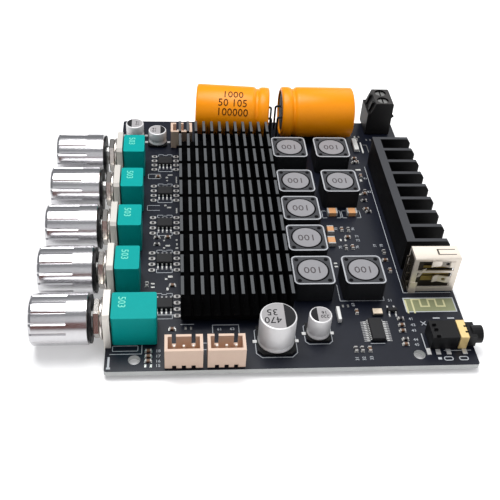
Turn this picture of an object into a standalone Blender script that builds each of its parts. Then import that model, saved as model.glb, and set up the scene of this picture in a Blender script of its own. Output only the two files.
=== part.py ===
"""Stereo audio amplifier board with five front knobs, modelled at its real size.

The board's near left corner is the layout datum: X runs along the near edge, Y away from it
and Z up from the copper side. The knobs stand out past the left edge. The empty board_origin
carries everything, so that the part's own origin is the bottom centre of its outline box.
"""

import math

import bmesh
import bpy
from mathutils import Matrix, Vector

# Clearances
SEAT_GAP = 0.0003           # between a piece and what it sits on or in
JOIN_DEPTH = 0.0003         # how far a joined shape reaches into the shape that carries it
HOLE_GAP = 0.0003           # round a lead in its board hole
HOLE_SIDES = 6              # how many sides each round form is built with
WIRE_SIDES = 6
PIN_SIDES = 8
BORE_SIDES = 12
SMALL_ROUND_SIDES = 16
ROUND_SIDES = 20
LARGE_ROUND_SIDES = 24
HEX_SIDES = 6

# Circuit board
BOARD_THICKNESS = 0.0016
SOLDER_TAIL = 0.0012        # how far leads stand out below the board
BOARD_CORNER = 0.0010
SCREW_HOLE_RADIUS = 0.0016
SCREW_HOLE_INSET_X = 0.0077
SCREW_HOLE_INSET_Y = 0.0039
SCREW_HOLE_RIGHT_INSET = 0.0158

# Potentiometers, in a row along the left edge
POT_COUNT = 5
POT_FIRST_Y = 0.0137
POT_PITCH = 0.0187
POT_WIDTH = 0.0097
POT_HEIGHT = 0.0104
POT_LENGTH = 0.0068
LONG_POT_LENGTH = 0.0118    # the nearest one also holds the power switch
POT_EDGE_BEVEL = 0.0005
PLATE_THICKNESS = 0.0018
PLATE_OVERHANG = 0.0003
AXIS_HEIGHT = 0.0055
SHAFT_RADIUS = 0.0030
BUSHING_WALL = 0.00045
BUSHING_LENGTH = 0.0027
NUT_WIDTH = 0.0106
NUT_THICKNESS = 0.0018
NUT_BEVEL = 0.0003
WASHER_THICKNESS = 0.0005
WASHER_RADIUS = 0.0056
POT_PIN_SIDE = 0.0007
POT_PIN_PITCH = 0.0025
POT_PIN_ROW_GAP = 0.0035

# Knobs
KNOB_RADIUS = 0.00695
KNOB_LENGTH = 0.01545
KNOB_WALL = 0.0008
KNOB_RING_LENGTH = 0.0005
KNOB_BAND_LENGTH = 0.0057
KNOB_RIM_BEVEL = 0.0010
KNOB_DISH = 0.0004
FLUTE_COUNT = 15
FLUTE_DEPTH = 0.00022
FLUTE_STEPS = 3
SHAFT_IN_KNOB = 0.0105
FAR_KNOBS_OUT = 0.0005      # the two farthest knobs sit this much further out

# Columns of small parts between the potentiometers and the heatsink
PASSIVE_LEFT_OFFSET = 0.0032
CHIP_COLUMN_OFFSET = 0.00355
CHIP_LENGTH = 0.0049
CHIP_WIDTH = 0.0039
CHIP_HEIGHT = 0.00145
CHIP_ROWS_Y = (0.0235, 0.0420, 0.05865, 0.0750, 0.0919)

# Main heatsink: a plate with a field of pins, over the two amplifier chips
SINK_OFFSET = 0.0011
SINK_NEAR_Y = 0.0163
SINK_LENGTH = 0.0839
FIN_COLUMNS = 12
FIN_PITCH = 0.0027
FIN_THICKNESS = 0.00085
FIN_ROW_LENGTH = 0.00709
FIN_ROW_GAP = 0.00157
SINK_PLATE_THICKNESS = 0.0015
SINK_TOP = 0.0116
AMP_CHIP_LENGTH = 0.0110
AMP_CHIP_WIDTH = 0.0062
AMP_CHIP_HEIGHT = 0.00115

# Power inductors
COIL_SIDE = 0.01174
COIL_HEIGHT = 0.00704
COIL_CORNER = 0.0014
COIL_TOP_BEVEL = 0.0004
COIL_COLUMN_GAP = 0.00296
COIL_SINK_GAP = 0.00135
COIL_FIRST_Y = 0.0243
COIL_PITCH = 0.01415
COIL_ROWS = 5
COIL_RIGHT_ROWS = (0, 3, 4)
COIL_FAR_STEP = 0.0050      # extra room before the farthest pair

# Side heatsink: an upright comb whose teeth face the right edge
SIDE_SINK_OFFSET = 0.00796
SIDE_SINK_WIDTH = 0.0135
SIDE_SINK_SPINE = 0.0026
SIDE_SINK_HEIGHT = 0.0108
SIDE_FIN_COUNT = 9
SIDE_FIN_PITCH = 0.00665
SIDE_FIN_THICKNESS = 0.0013
SIDE_FIN_CORNER = 0.0004
SIDE_FIN_SLOPE_WIDTH = 0.0013
SIDE_FIN_SLOPE_DROP = 0.0019
SIDE_SINK_EDGE = 0.0002
SIDE_SINK_USB_GAP = 0.0044
SIDE_PIN_RADIUS = 0.0008
SIDE_PIN_INSET = 0.0060

# Large capacitors, lying along the far edge
CAP_RADIUS = 0.0089
CAP_LENGTH = 0.0256
CAP_CLEARANCE = 0.0015
CAP_OVERHANG = 0.0015
CAP_GROOVE_DEPTH = 0.0007
CAP_GROOVE_OFFSET = 0.0034
CAP_GROOVE_WIDTH = 0.0018
CAP_ROLL = 0.0007
CAP_SEAL_RECESS = 0.0006
CAP_SEAL_THICKNESS = 0.0012
CAP_CAN_WALL = 0.0012
CAP_LEAD_RADIUS = 0.0004
CAP_LEAD_PITCH = 0.0075
CAP_LEAD_REACH = 0.0012
CAP_ENDS_GAP = 0.0043
CAP_TERMINAL_GAP = 0.0040
CAP_YAW = math.radians(5.0)
CAP_YAW_SHIFT = 0.0004

# Upright surface capacitors
LARGE_CAN_RADIUS = 0.0050
LARGE_CAN_HEIGHT = 0.0102
MEDIUM_CAN_RADIUS = 0.003175
MEDIUM_CAN_HEIGHT = 0.0077
SMALL_CAN_RADIUS = 0.00315
SMALL_CAN_HEIGHT = 0.0054
CAN_BASE_MARGIN = 0.00015
CAN_BASE_HEIGHT = 0.0016
CAN_TOP_ROLL = 0.00035
CAN_WAIST = 0.00025
LARGE_CAN_PLACE = (0.0455, 0.0094)
MEDIUM_CAN_PLACE = (0.0574, 0.0120)
CORNER_CAN_X = 0.0046
CORNER_CAN_FROM_CAP = 0.0023
INNER_CAN_X = 0.0126
INNER_CAN_FROM_CAP = 0.0064

# Pin headers
HEADER_WIDTH = 0.0099
HEADER_DEPTH = 0.00575
HEADER_HEIGHT = 0.0070
HEADER_WALL = 0.0008
HEADER_FLOOR = 0.0018
HEADER_PITCH = 0.0025
HEADER_PIN_SIDE = 0.00064
HEADER_PIN_TOP = 0.0058
HEADER_NOTCH_WIDTH = 0.0011
HEADER_NOTCH_DEPTH = 0.0036
HEADER_SLOT_HEIGHT = 0.0014
HEADER_FIRST_X = 0.01567
HEADER_STEP_X = 0.01108
HEADER_Y = 0.00057
SMALL_HEADER_X = 0.0173
SMALL_HEADER_GAP = 0.0004
SMALL_HEADER_CAP_GAP = 0.0010

# Screw terminal block
TERMINAL_PITCH = 0.00508
TERMINAL_POLES = 2
TERMINAL_TOP = 0.0132
TERMINAL_WIDTH = 0.0090
TERMINAL_EDGE_GAP = 0.0024  # from its wire side to the board's right edge
TERMINAL_OVERHANG = 0.0024
TERMINAL_LEDGE_HEIGHT = 0.0088
TERMINAL_LEDGE_WIDTH = 0.0010
TERMINAL_NOSE = 0.0008
TERMINAL_NOSE_HEIGHT = 0.0080
TERMINAL_TOP_BEVEL = 0.0005
TERMINAL_AXIS_INSET = 0.0037
TERMINAL_WALL = 0.0005
TERMINAL_FLOOR = 0.0018
CLAMP_LENGTH = 0.0036
CLAMP_WALL = 0.0006
CLAMP_ROOF = 0.0011
CLAMP_HEIGHT = 0.0058
CLAMP_TRAVEL = 0.0020
CONTACT_THICKNESS = 0.0006
CONTACT_PIN_SIDE = 0.0010
TERMINAL_SCREW_RADIUS = 0.0018
TERMINAL_SCREW_HEAD = 0.0014
TERMINAL_SCREW_SUNK = 0.0005
TERMINAL_SHANK_RADIUS = 0.0009
SCREW_SLOT_WIDTH = 0.0005
SCREW_SLOT_DEPTH = 0.0006

# Data socket, standing on its side
USB_LENGTH = 0.0134
USB_HEIGHT = 0.0131
USB_DEPTH = 0.0057
USB_WALL = 0.0004
USB_CORNER = 0.0006
USB_FLARE = 0.0003
USB_FLARE_LENGTH = 0.0009
USB_LIFT = 0.0003
USB_EDGE_GAP = 0.0005
USB_NEAR_Y = 0.0275
USB_SPRING_LENGTH = 0.0060
USB_SPRING_WIDTH = 0.0021
USB_SPRING_SLOT = 0.0004
USB_SPRING_FRONT = 0.0024
USB_BLOCK_LENGTH = 0.0030
USB_TONGUE_THICKNESS = 0.0018
USB_TONGUE_SHORT = 0.0016
USB_PIN_SIDE = 0.0005
USB_PIN_SPREAD = 0.0012
USB_PIN_STEP = 0.0022
USB_PIN_REACH = 0.0007

# Round audio socket
JACK_BODY_LENGTH = 0.0074
JACK_WIDTH = 0.0064
JACK_HEIGHT = 0.0045
JACK_NECK_LENGTH = 0.0029
JACK_BAND_THICKNESS = 0.0005
JACK_FLANGE_LENGTH = 0.0022
JACK_BARREL_RADIUS = 0.0025
JACK_BARREL_LENGTH = 0.0020
JACK_BORE_RADIUS = 0.00175
JACK_BORE_DEPTH = 0.0110
JACK_NEAR_Y = 0.0055

# Further small parts, each with its own spot on the board
SOLDER_DEPTH = 0.0002       # how far a soldered small part reaches into the board's face
CONTROL_CHIP_PLACE = (0.0739, 0.0125)
CONTROL_CHIP_SIZE = (0.0039, 0.0078, 0.0015)
CRYSTAL_PLACE = (0.0755, 0.01935)
CRYSTAL_SIZE = (0.0032, 0.0025, 0.0008)
REGULATOR_PLACE = (0.0799, 0.02014)
REGULATOR_SIZE = (0.0013, 0.0029, 0.0011)
CERAMIC_SIZE = (0.0032, 0.0016, 0.0012)
CERAMIC_FAR_GAP = 0.0020
LINK_PLACE = (0.0639, 0.01755)
LINK_SIZE = (0.0014, 0.0059, 0.0020)
BAR_SIZE = (0.0017, 0.0070, 0.0012)
BAR_GAP = 0.0019
BAR_Y_OFFSET = 0.0023

# Positions worked out along the board, from the left edge to the right
POT_BACK_X = PLATE_THICKNESS - PLATE_OVERHANG + SEAT_GAP + POT_LENGTH
PASSIVE_LEFT_X = POT_BACK_X + PASSIVE_LEFT_OFFSET
CHIP_COLUMN_X = PASSIVE_LEFT_X + CHIP_COLUMN_OFFSET
PASSIVE_RIGHT_X = CHIP_COLUMN_X + CHIP_COLUMN_OFFSET
SINK_LEFT_X = PASSIVE_RIGHT_X + SINK_OFFSET
SINK_WIDTH = (FIN_COLUMNS - 1) * FIN_PITCH + FIN_THICKNESS
SINK_RIGHT_X = SINK_LEFT_X + SINK_WIDTH
COIL_LEFT_X = SINK_RIGHT_X + COIL_SINK_GAP
COIL_RIGHT_X = COIL_LEFT_X + COIL_SIDE + COIL_COLUMN_GAP
SMALL_PARTS_X = COIL_RIGHT_X + COIL_SIDE
SIDE_SINK_X = SMALL_PARTS_X + SIDE_SINK_OFFSET

# The turned capacitor, half of its outline along X and Y, and the straight one beside it
CAP_HALF_X = CAP_LENGTH / 2 * math.cos(CAP_YAW) + CAP_RADIUS * math.sin(CAP_YAW)
CAP_HALF_Y = (CAP_LENGTH / 2 - CAP_ROLL) * math.sin(CAP_YAW) + CAP_RADIUS * math.cos(CAP_YAW)
SMALL_HEADER_WIDTH = HEADER_WIDTH - HEADER_PITCH
TURNED_CAP_X = SMALL_HEADER_X + SMALL_HEADER_WIDTH + SMALL_HEADER_CAP_GAP + CAP_HALF_X
STRAIGHT_CAP_X = TURNED_CAP_X + CAP_LENGTH + CAP_ENDS_GAP

# The board is as wide as its widest row of parts
SIDE_SINK_ROW = SIDE_SINK_X + SIDE_SINK_WIDTH + SIDE_SINK_EDGE
CAP_ROW = (STRAIGHT_CAP_X + CAP_LENGTH / 2 + CAP_TERMINAL_GAP + TERMINAL_WIDTH
           + TERMINAL_EDGE_GAP)
BOARD_WIDTH = max(SIDE_SINK_ROW, CAP_ROW)

# Positions worked out from the near edge to the far one
SINK_FAR_Y = SINK_NEAR_Y + SINK_LENGTH
COIL_FAR_Y = COIL_FIRST_Y + (COIL_ROWS - 1) * COIL_PITCH + COIL_FAR_STEP + COIL_SIDE
CAP_Y = max(SINK_FAR_Y, COIL_FAR_Y) + CAP_CLEARANCE + CAP_RADIUS
CAP_Z = CAP_RADIUS + SEAT_GAP
BOARD_DEPTH = CAP_Y + CAP_RADIUS - CAP_OVERHANG
SMALL_HEADER_Y = SINK_FAR_Y + SMALL_HEADER_GAP
SIDE_SINK_LENGTH = (SIDE_FIN_COUNT - 1) * SIDE_FIN_PITCH + SIDE_FIN_THICKNESS
SIDE_SINK_NEAR_Y = USB_NEAR_Y + USB_DEPTH + SIDE_SINK_USB_GAP
TERMINAL_LENGTH = TERMINAL_POLES * TERMINAL_PITCH
TERMINAL_NEAR_Y = BOARD_DEPTH + TERMINAL_OVERHANG - TERMINAL_LENGTH
TERMINAL_RIGHT_X = BOARD_WIDTH - TERMINAL_EDGE_GAP
TERMINAL_AXIS_X = TERMINAL_RIGHT_X - TERMINAL_AXIS_INSET
USB_FRONT_X = BOARD_WIDTH - USB_EDGE_GAP
JACK_BODY_X = BOARD_WIDTH - JACK_FLANGE_LENGTH - JACK_NECK_LENGTH - JACK_BODY_LENGTH
KNOB_BACK_X = -PLATE_OVERHANG - BUSHING_LENGTH - SEAT_GAP

TURNED_CAP_Y = CAP_Y + CAP_YAW_SHIFT

# Outline box of the whole part, for its origin
PART_LEFT = KNOB_BACK_X - KNOB_RING_LENGTH - KNOB_LENGTH - FAR_KNOBS_OUT
PART_RIGHT = BOARD_WIDTH + JACK_BARREL_LENGTH
PART_NEAR = 0.0
PART_FAR = max(TURNED_CAP_Y + CAP_HALF_Y, BOARD_DEPTH + TERMINAL_OVERHANG)
PART_BOTTOM = -BOARD_THICKNESS - SOLDER_TAIL

X_AXIS = Matrix.Rotation(math.radians(-90.0), 4, "Y")   # turns a lathe's +Z to -X
CLEAN_ANGLE = math.radians(35.0)
board_holes = []            # (x, y, radius) of each lead or screw hole, filled as leads are made


def finish(name, colour, roughness, metallic=0.0):
    """Return a Principled material with this colour, roughness and metallic value."""
    material = bpy.data.materials.new(name)
    material.use_nodes = True
    shader = material.node_tree.nodes["Principled BSDF"]
    shader.inputs["Base Color"].default_value = (*colour, 1.0)
    shader.inputs["Roughness"].default_value = roughness
    shader.inputs["Metallic"].default_value = metallic
    material.diffuse_color = (*colour, 1.0)
    return material


def add_piece(name, mesh_maker, material, location=(0.0, 0.0, 0.0), yaw=0.0):
    """Make one object from a bmesh under the board's origin, with its round faces smooth."""
    mesh = bpy.data.meshes.new(name)
    bmesh.ops.recalc_face_normals(mesh_maker, faces=mesh_maker.faces[:])
    mesh_maker.to_mesh(mesh)
    mesh_maker.free()
    mesh.shade_smooth()
    mesh.set_sharp_from_angle(angle=CLEAN_ANGLE)
    mesh.materials.append(material)
    piece = bpy.data.objects.new(name, mesh)
    bpy.context.scene.collection.objects.link(piece)
    piece.parent = bpy.data.objects["board_origin"]
    piece.location = location
    piece.rotation_euler.z = yaw
    return piece


def combine(piece, other_mesh, label, operation):
    """Join a shape to a piece, or cut it out, with a Boolean; both share one place."""
    other = add_piece(f"{piece.name}_{label}", other_mesh, piece.data.materials[0],
                      piece.location, piece.rotation_euler.z)
    other.hide_render = True
    other.display_type = "WIRE"
    modifier = piece.modifiers.new(label, "BOOLEAN")
    modifier.operation = operation
    modifier.solver = "EXACT"
    modifier.use_self = True        # the other mesh may hold shapes that cross each other
    modifier.object = other


def cut_away(piece, cutter_mesh, label):
    """Cut a shape out of a piece."""
    combine(piece, cutter_mesh, label, "DIFFERENCE")


def add_box(shape, low, high):
    """Add a box between two corners and return its vertices."""
    size = [b - a for a, b in zip(low, high)]
    middle = [(a + b) / 2 for a, b in zip(low, high)]
    placed = Matrix.Translation(middle) @ Matrix.Diagonal((*size, 1.0))
    return bmesh.ops.create_cube(shape, size=1.0, matrix=placed)["verts"]


def add_centred_box(shape, middle, size, base):
    """Add a box that stands on height base, centred on (x, y)."""
    low = (middle[0] - size[0] / 2, middle[1] - size[1] / 2, base)
    high = (middle[0] + size[0] / 2, middle[1] + size[1] / 2, base + size[2])
    return add_box(shape, low, high)


def extrude_outline(shape, outline, start, travel):
    """Extrude a closed outline of (x, y, z) points, shifted by start, along travel."""
    start = Vector(start)
    corners = [shape.verts.new(Vector(point) + start) for point in outline]
    face = shape.faces.new(corners)
    grown = bmesh.ops.extrude_face_region(shape, geom=[face], use_keep_orig=True)
    moved = [item for item in grown["geom"] if isinstance(item, bmesh.types.BMVert)]
    bmesh.ops.translate(shape, verts=moved, vec=Vector(travel))
    return corners + moved


def loft(shape, rings, closed=False):
    """Join rings of points, one after another, and cap the first and last unless closed."""
    rings = [[shape.verts.new(point) for point in ring] for ring in rings]
    pairs = list(zip(rings, rings[1:]))
    if closed:
        pairs.append((rings[-1], rings[0]))
    else:
        shape.faces.new(rings[0])
        shape.faces.new(rings[-1])
    for lower, upper in pairs:
        for step in range(len(lower)):
            after = (step + 1) % len(lower)
            shape.faces.new((lower[step], lower[after], upper[after], upper[step]))


def lathe(shape, stations, sides, matrix=None, closed=False, outline=None):
    """Join rings of points at (height, radius) stations into a turned solid.

    outline(angle, radius, station_index) may change a ring's radius with its angle. A closed
    solid, such as a washer, joins its last ring to its first; any other has flat end caps.
    """
    matrix = matrix or Matrix.Identity(4)
    rings = []
    for index, (height, radius) in enumerate(stations):
        ring = []
        for step in range(sides):
            angle = 2 * math.pi * step / sides
            reach = outline(angle, radius, index) if outline else radius
            point = Vector((reach * math.cos(angle), reach * math.sin(angle), height))
            ring.append(matrix @ point)
        rings.append(ring)
    loft(shape, rings, closed)


def rounded_rectangle(width, height, radius, steps=3):
    """Return (u, v) points of a rectangle with round corners, centred on zero."""
    points = []
    for quarter, (side, end) in enumerate(((1, 1), (-1, 1), (-1, -1), (1, -1))):
        for step in range(steps + 1):
            angle = math.radians(90.0) * (quarter + step / steps)
            points.append((side * (width / 2 - radius) + radius * math.cos(angle),
                           end * (height / 2 - radius) + radius * math.sin(angle)))
    return points


def add_lead(shape, place, offset, side, top):
    """Add a square lead, at an offset from its piece's place, and note its board hole."""
    bottom = PART_BOTTOM - place[2]
    add_centred_box(shape, offset, (side, side, top - PART_BOTTOM), bottom)
    board_holes.append((place[0] + offset[0], place[1] + offset[1],
                        side * math.sqrt(0.5) + HOLE_GAP))


def make_potentiometer(number, finishes):
    """Make one potentiometer with its bushing plate, and its shaft and knob."""
    y = POT_FIRST_Y + (number - 1) * POT_PITCH
    length = LONG_POT_LENGTH if number == 1 else POT_LENGTH
    plate_back = PLATE_THICKNESS - PLATE_OVERHANG
    out = FAR_KNOBS_OUT if number > POT_COUNT - 2 else 0.0

    housing = bmesh.new()
    add_box(housing, (plate_back + SEAT_GAP, -POT_WIDTH / 2, SEAT_GAP - AXIS_HEIGHT),
            (plate_back + SEAT_GAP + length, POT_WIDTH / 2, POT_HEIGHT - AXIS_HEIGHT))
    upright = [edge for edge in housing.edges
               if abs(edge.verts[0].co.z - edge.verts[1].co.z) > POT_HEIGHT / 2]
    bmesh.ops.bevel(housing, geom=upright, offset=POT_EDGE_BEVEL, segments=2,
                    profile=0.5, affect="EDGES")
    place = (0.0, y, AXIS_HEIGHT)
    housing = add_piece(f"pot_housing_{number}", housing, finishes["green"], place)
    pins = bmesh.new()
    for row in range(2):
        x = POT_BACK_X - POT_LENGTH / 4 - row * POT_PIN_ROW_GAP
        for column in (-1, 0, 1):
            add_lead(pins, place, (x, column * POT_PIN_PITCH), POT_PIN_SIDE,
                     SEAT_GAP + JOIN_DEPTH)
    combine(housing, pins, "pins", "UNION")

    plate = bmesh.new()
    half = (POT_WIDTH / 2 - PLATE_OVERHANG, POT_HEIGHT - AXIS_HEIGHT)
    corner = POT_EDGE_BEVEL * 2
    outline = [(-half[0], SEAT_GAP - AXIS_HEIGHT), (half[0], SEAT_GAP - AXIS_HEIGHT),
               (half[0], half[1] - corner), (half[0] - corner, half[1]),
               (-half[0] + corner, half[1]), (-half[0], half[1] - corner)]
    extrude_outline(plate, [(0.0, u, v) for u, v in outline], (-PLATE_OVERHANG, 0.0, 0.0),
                    (PLATE_THICKNESS, 0.0, 0.0))
    plate = add_piece(f"bushing_plate_{number}", plate, finishes["plated"], place)
    tube = bmesh.new()
    bushing = SHAFT_RADIUS + SEAT_GAP + BUSHING_WALL
    lathe(tube, [(-plate_back / 2, bushing), (PLATE_OVERHANG + BUSHING_LENGTH, bushing)],
          BORE_SIDES, X_AXIS)
    combine(plate, tube, "tube", "UNION")
    rings = bmesh.new()
    washer_end = PLATE_OVERHANG + WASHER_THICKNESS
    lathe(rings, [(PLATE_OVERHANG - JOIN_DEPTH, WASHER_RADIUS), (washer_end, WASHER_RADIUS)],
          SMALL_ROUND_SIDES, X_AXIS)
    combine(plate, rings, "washer", "UNION")
    rings = bmesh.new()
    nut_end = min(washer_end + NUT_THICKNESS, PLATE_OVERHANG + BUSHING_LENGTH)
    corner = NUT_WIDTH / 2 / math.cos(math.radians(30.0))
    lathe(rings, [(washer_end - JOIN_DEPTH, corner - NUT_BEVEL),
                  (washer_end, corner - NUT_BEVEL), (washer_end + NUT_BEVEL, corner),
                  (nut_end - NUT_BEVEL, corner), (nut_end, corner - NUT_BEVEL)], HEX_SIDES, X_AXIS)
    combine(plate, rings, "nut", "UNION")
    bore = bmesh.new()
    lathe(bore, [(-PLATE_THICKNESS * 2, SHAFT_RADIUS + SEAT_GAP),
                 (PLATE_THICKNESS * 2 + BUSHING_LENGTH, SHAFT_RADIUS + SEAT_GAP)], BORE_SIDES, X_AXIS)
    cut_away(plate, bore, "bore")

    shaft = bmesh.new()
    lathe(shaft, [(-plate_back + SEAT_GAP, SHAFT_RADIUS),
                  (-KNOB_BACK_X + SHAFT_IN_KNOB, SHAFT_RADIUS)], BORE_SIDES, X_AXIS)
    add_piece(f"shaft_{number}", shaft, finishes["steel"], place)
    make_knob(number, (KNOB_BACK_X - out, y, AXIS_HEIGHT), finishes)


def make_knob(number, place, finishes):
    """Make a knob: a black core that grips the shaft, and a fluted bright cap over it."""
    sides = FLUTE_COUNT * FLUTE_STEPS
    front = KNOB_RING_LENGTH + KNOB_LENGTH
    cap_back = KNOB_RING_LENGTH + SEAT_GAP
    flutes_from = cap_back + KNOB_BAND_LENGTH

    def fluted(angle, radius, station):
        """Sink every third point a little on the stations that carry the flutes."""
        if station not in (2, 3):
            return radius
        return radius - FLUTE_DEPTH * (1 + math.cos(FLUTE_COUNT * angle)) / 2

    cap = bmesh.new()
    inner = KNOB_RADIUS - KNOB_WALL
    rim = KNOB_RADIUS - KNOB_RIM_BEVEL
    lathe(cap, [(cap_back, KNOB_RADIUS), (flutes_from, KNOB_RADIUS),
                (flutes_from + KNOB_RIM_BEVEL, KNOB_RADIUS), (front - KNOB_RIM_BEVEL, KNOB_RADIUS),
                (front, rim), (front - KNOB_DISH, rim - KNOB_DISH * 2)],
          sides, X_AXIS, outline=fluted)
    cap = add_piece(f"knob_cap_{number}", cap, finishes["chrome"], place)
    hollow = bmesh.new()
    lathe(hollow, [(0.0, inner), (front - KNOB_DISH - KNOB_WALL, inner)], LARGE_ROUND_SIDES, X_AXIS)
    cut_away(cap, hollow, "hollow")

    core = bmesh.new()
    lathe(core, [(0.0, KNOB_RADIUS - KNOB_DISH), (KNOB_RING_LENGTH, KNOB_RADIUS - KNOB_DISH),
                 (KNOB_RING_LENGTH, inner - SEAT_GAP),
                 (front - KNOB_DISH - KNOB_WALL - SEAT_GAP, inner - SEAT_GAP)], LARGE_ROUND_SIDES, X_AXIS)
    core = add_piece(f"knob_core_{number}", core, finishes["black"], place)
    socket = bmesh.new()
    lathe(socket, [(-KNOB_RING_LENGTH, SHAFT_RADIUS + SEAT_GAP),
                   (SHAFT_IN_KNOB + FAR_KNOBS_OUT + SEAT_GAP, SHAFT_RADIUS + SEAT_GAP)],
          BORE_SIDES, X_AXIS)
    cut_away(core, socket, "socket")


def make_main_heatsink(finishes):
    """Make the pin-field heatsink from one gridded plate, and the two chips under it."""
    pitch = FIN_ROW_LENGTH + FIN_ROW_GAP
    columns = []
    for fin in range(FIN_COLUMNS):
        columns += [fin * FIN_PITCH, fin * FIN_PITCH + FIN_THICKNESS]
    rows = []
    row = 0
    while row * pitch < SINK_LENGTH - FIN_ROW_GAP:
        rows += [row * pitch, min(row * pitch + FIN_ROW_LENGTH, SINK_LENGTH)]
        row += 1
    rows[-1] = SINK_LENGTH

    shape = bmesh.new()
    points = [[shape.verts.new((x, y, SINK_PLATE_THICKNESS)) for y in rows] for x in columns]
    field = []
    for i in range(len(columns) - 1):
        for j in range(len(rows) - 1):
            face = shape.faces.new((points[i][j], points[i + 1][j],
                                    points[i + 1][j + 1], points[i][j + 1]))
            if i % 2 == 0 and j % 2 == 0:
                field.append(face)
    rim = [edge for edge in shape.edges if len(edge.link_faces) == 1]
    skirt = bmesh.ops.extrude_edge_only(shape, edges=rim)["geom"]
    lowered = [item for item in skirt if isinstance(item, bmesh.types.BMVert)]
    bmesh.ops.translate(shape, verts=lowered, vec=(0.0, 0.0, -SINK_PLATE_THICKNESS))
    bottom = [edge for edge in shape.edges if len(edge.link_faces) == 1]
    bmesh.ops.contextual_create(shape, geom=bottom)

    pins = bmesh.ops.extrude_discrete_faces(shape, faces=field)["faces"]
    fin_height = SINK_TOP - SINK_PLATE_THICKNESS - SEAT_GAP * 2 - AMP_CHIP_HEIGHT
    for face in pins:
        bmesh.ops.translate(shape, verts=face.verts[:], vec=(0.0, 0.0, fin_height))
    base = SEAT_GAP + AMP_CHIP_HEIGHT + SEAT_GAP
    shape.transform(Matrix.Translation((SINK_LEFT_X, SINK_NEAR_Y, base)))
    add_piece("main_heatsink", shape, finishes["black_metal"])

    for number in (1, 2):
        chip = bmesh.new()
        add_centred_box(chip, (0.0, 0.0), (AMP_CHIP_WIDTH, AMP_CHIP_LENGTH, AMP_CHIP_HEIGHT), 0.0)
        add_piece(f"amplifier_chip_{number}", chip, finishes["black"],
                  (SINK_LEFT_X + SINK_WIDTH / 2, SINK_NEAR_Y + SINK_LENGTH * number / 3,
                   SEAT_GAP))


def fin_slope(right, top):
    """Return the wedge that slopes the outer top corner of every side fin."""
    wide, drop = SIDE_FIN_SLOPE_WIDTH, SIDE_FIN_SLOPE_DROP
    near = SIDE_SINK_NEAR_Y - SIDE_FIN_PITCH
    wedge = bmesh.new()
    extrude_outline(wedge, [(right - 1.5 * wide, near, top + drop / 2),
                            (right + wide / 2, near, top - 1.5 * drop),
                            (right + wide, near, top + drop)], (0.0, 0.0, 0.0),
                    (0.0, SIDE_SINK_LENGTH + 2 * SIDE_FIN_PITCH, 0.0))
    return wedge


def make_side_heatsink(finishes):
    """Extrude the side heatsink's comb outline upwards, and make its two board pins."""
    left = SIDE_SINK_X
    inner = left + SIDE_SINK_SPINE
    right = left + SIDE_SINK_WIDTH
    outline = [(left, SIDE_SINK_NEAR_Y)]
    for fin in range(SIDE_FIN_COUNT):
        near = SIDE_SINK_NEAR_Y + fin * SIDE_FIN_PITCH
        far = near + SIDE_FIN_THICKNESS
        if fin > 0:
            outline.append((inner, near))
        outline += [(right - SIDE_FIN_CORNER, near), (right, near + SIDE_FIN_CORNER),
                    (right, far - SIDE_FIN_CORNER), (right - SIDE_FIN_CORNER, far)]
        if fin < SIDE_FIN_COUNT - 1:
            outline.append((inner, far))
    outline.append((left, SIDE_SINK_NEAR_Y + SIDE_SINK_LENGTH))
    comb = bmesh.new()
    extrude_outline(comb, [(x, y, SEAT_GAP) for x, y in outline], (0.0, 0.0, 0.0),
                    (0.0, 0.0, SIDE_SINK_HEIGHT))
    comb = add_piece("side_heatsink", comb, finishes["black_metal"])
    cut_away(comb, fin_slope(right, SEAT_GAP + SIDE_SINK_HEIGHT), "fin_slope")

    pins = bmesh.new()
    x = left + SIDE_SINK_SPINE / 2
    for y in (SIDE_SINK_NEAR_Y + SIDE_PIN_INSET,
              SIDE_SINK_NEAR_Y + SIDE_SINK_LENGTH - SIDE_PIN_INSET):
        lathe(pins, [(PART_BOTTOM, SIDE_PIN_RADIUS), (SEAT_GAP + JOIN_DEPTH, SIDE_PIN_RADIUS)],
              PIN_SIDES, Matrix.Translation((x, y, 0.0)))
        board_holes.append((x, y, SIDE_PIN_RADIUS + HOLE_GAP))
    combine(comb, pins, "pins", "UNION")


def bent_lead(shape, matrix, side, reach):
    """Add a round lead that leaves a lying can along +X and bends down to the board."""
    bend = CAP_LEAD_REACH / 2
    path = [(reach - CAP_LEAD_REACH - CAP_SEAL_THICKNESS, 0.0, 0.0), (reach - bend, 0.0, 0.0)]
    for step in (1, 2, 3):
        turn = math.radians(90.0) * step / 3
        path.append((reach - bend + bend * math.sin(turn), bend * (math.cos(turn) - 1), turn))
    path.append((reach, PART_BOTTOM - CAP_Z, math.radians(90.0)))
    rings = []
    for x, z, turn in path:
        ring = []
        for step in range(WIRE_SIDES):
            angle = math.radians(60.0) * step
            across = CAP_LEAD_RADIUS * math.cos(angle)
            rise = CAP_LEAD_RADIUS * math.sin(angle)
            ring.append(matrix @ Vector((x + rise * math.sin(turn),
                                         side * CAP_LEAD_PITCH / 2 + across,
                                         z + rise * math.cos(turn))))
        rings.append(ring)
    loft(shape, rings)


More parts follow.
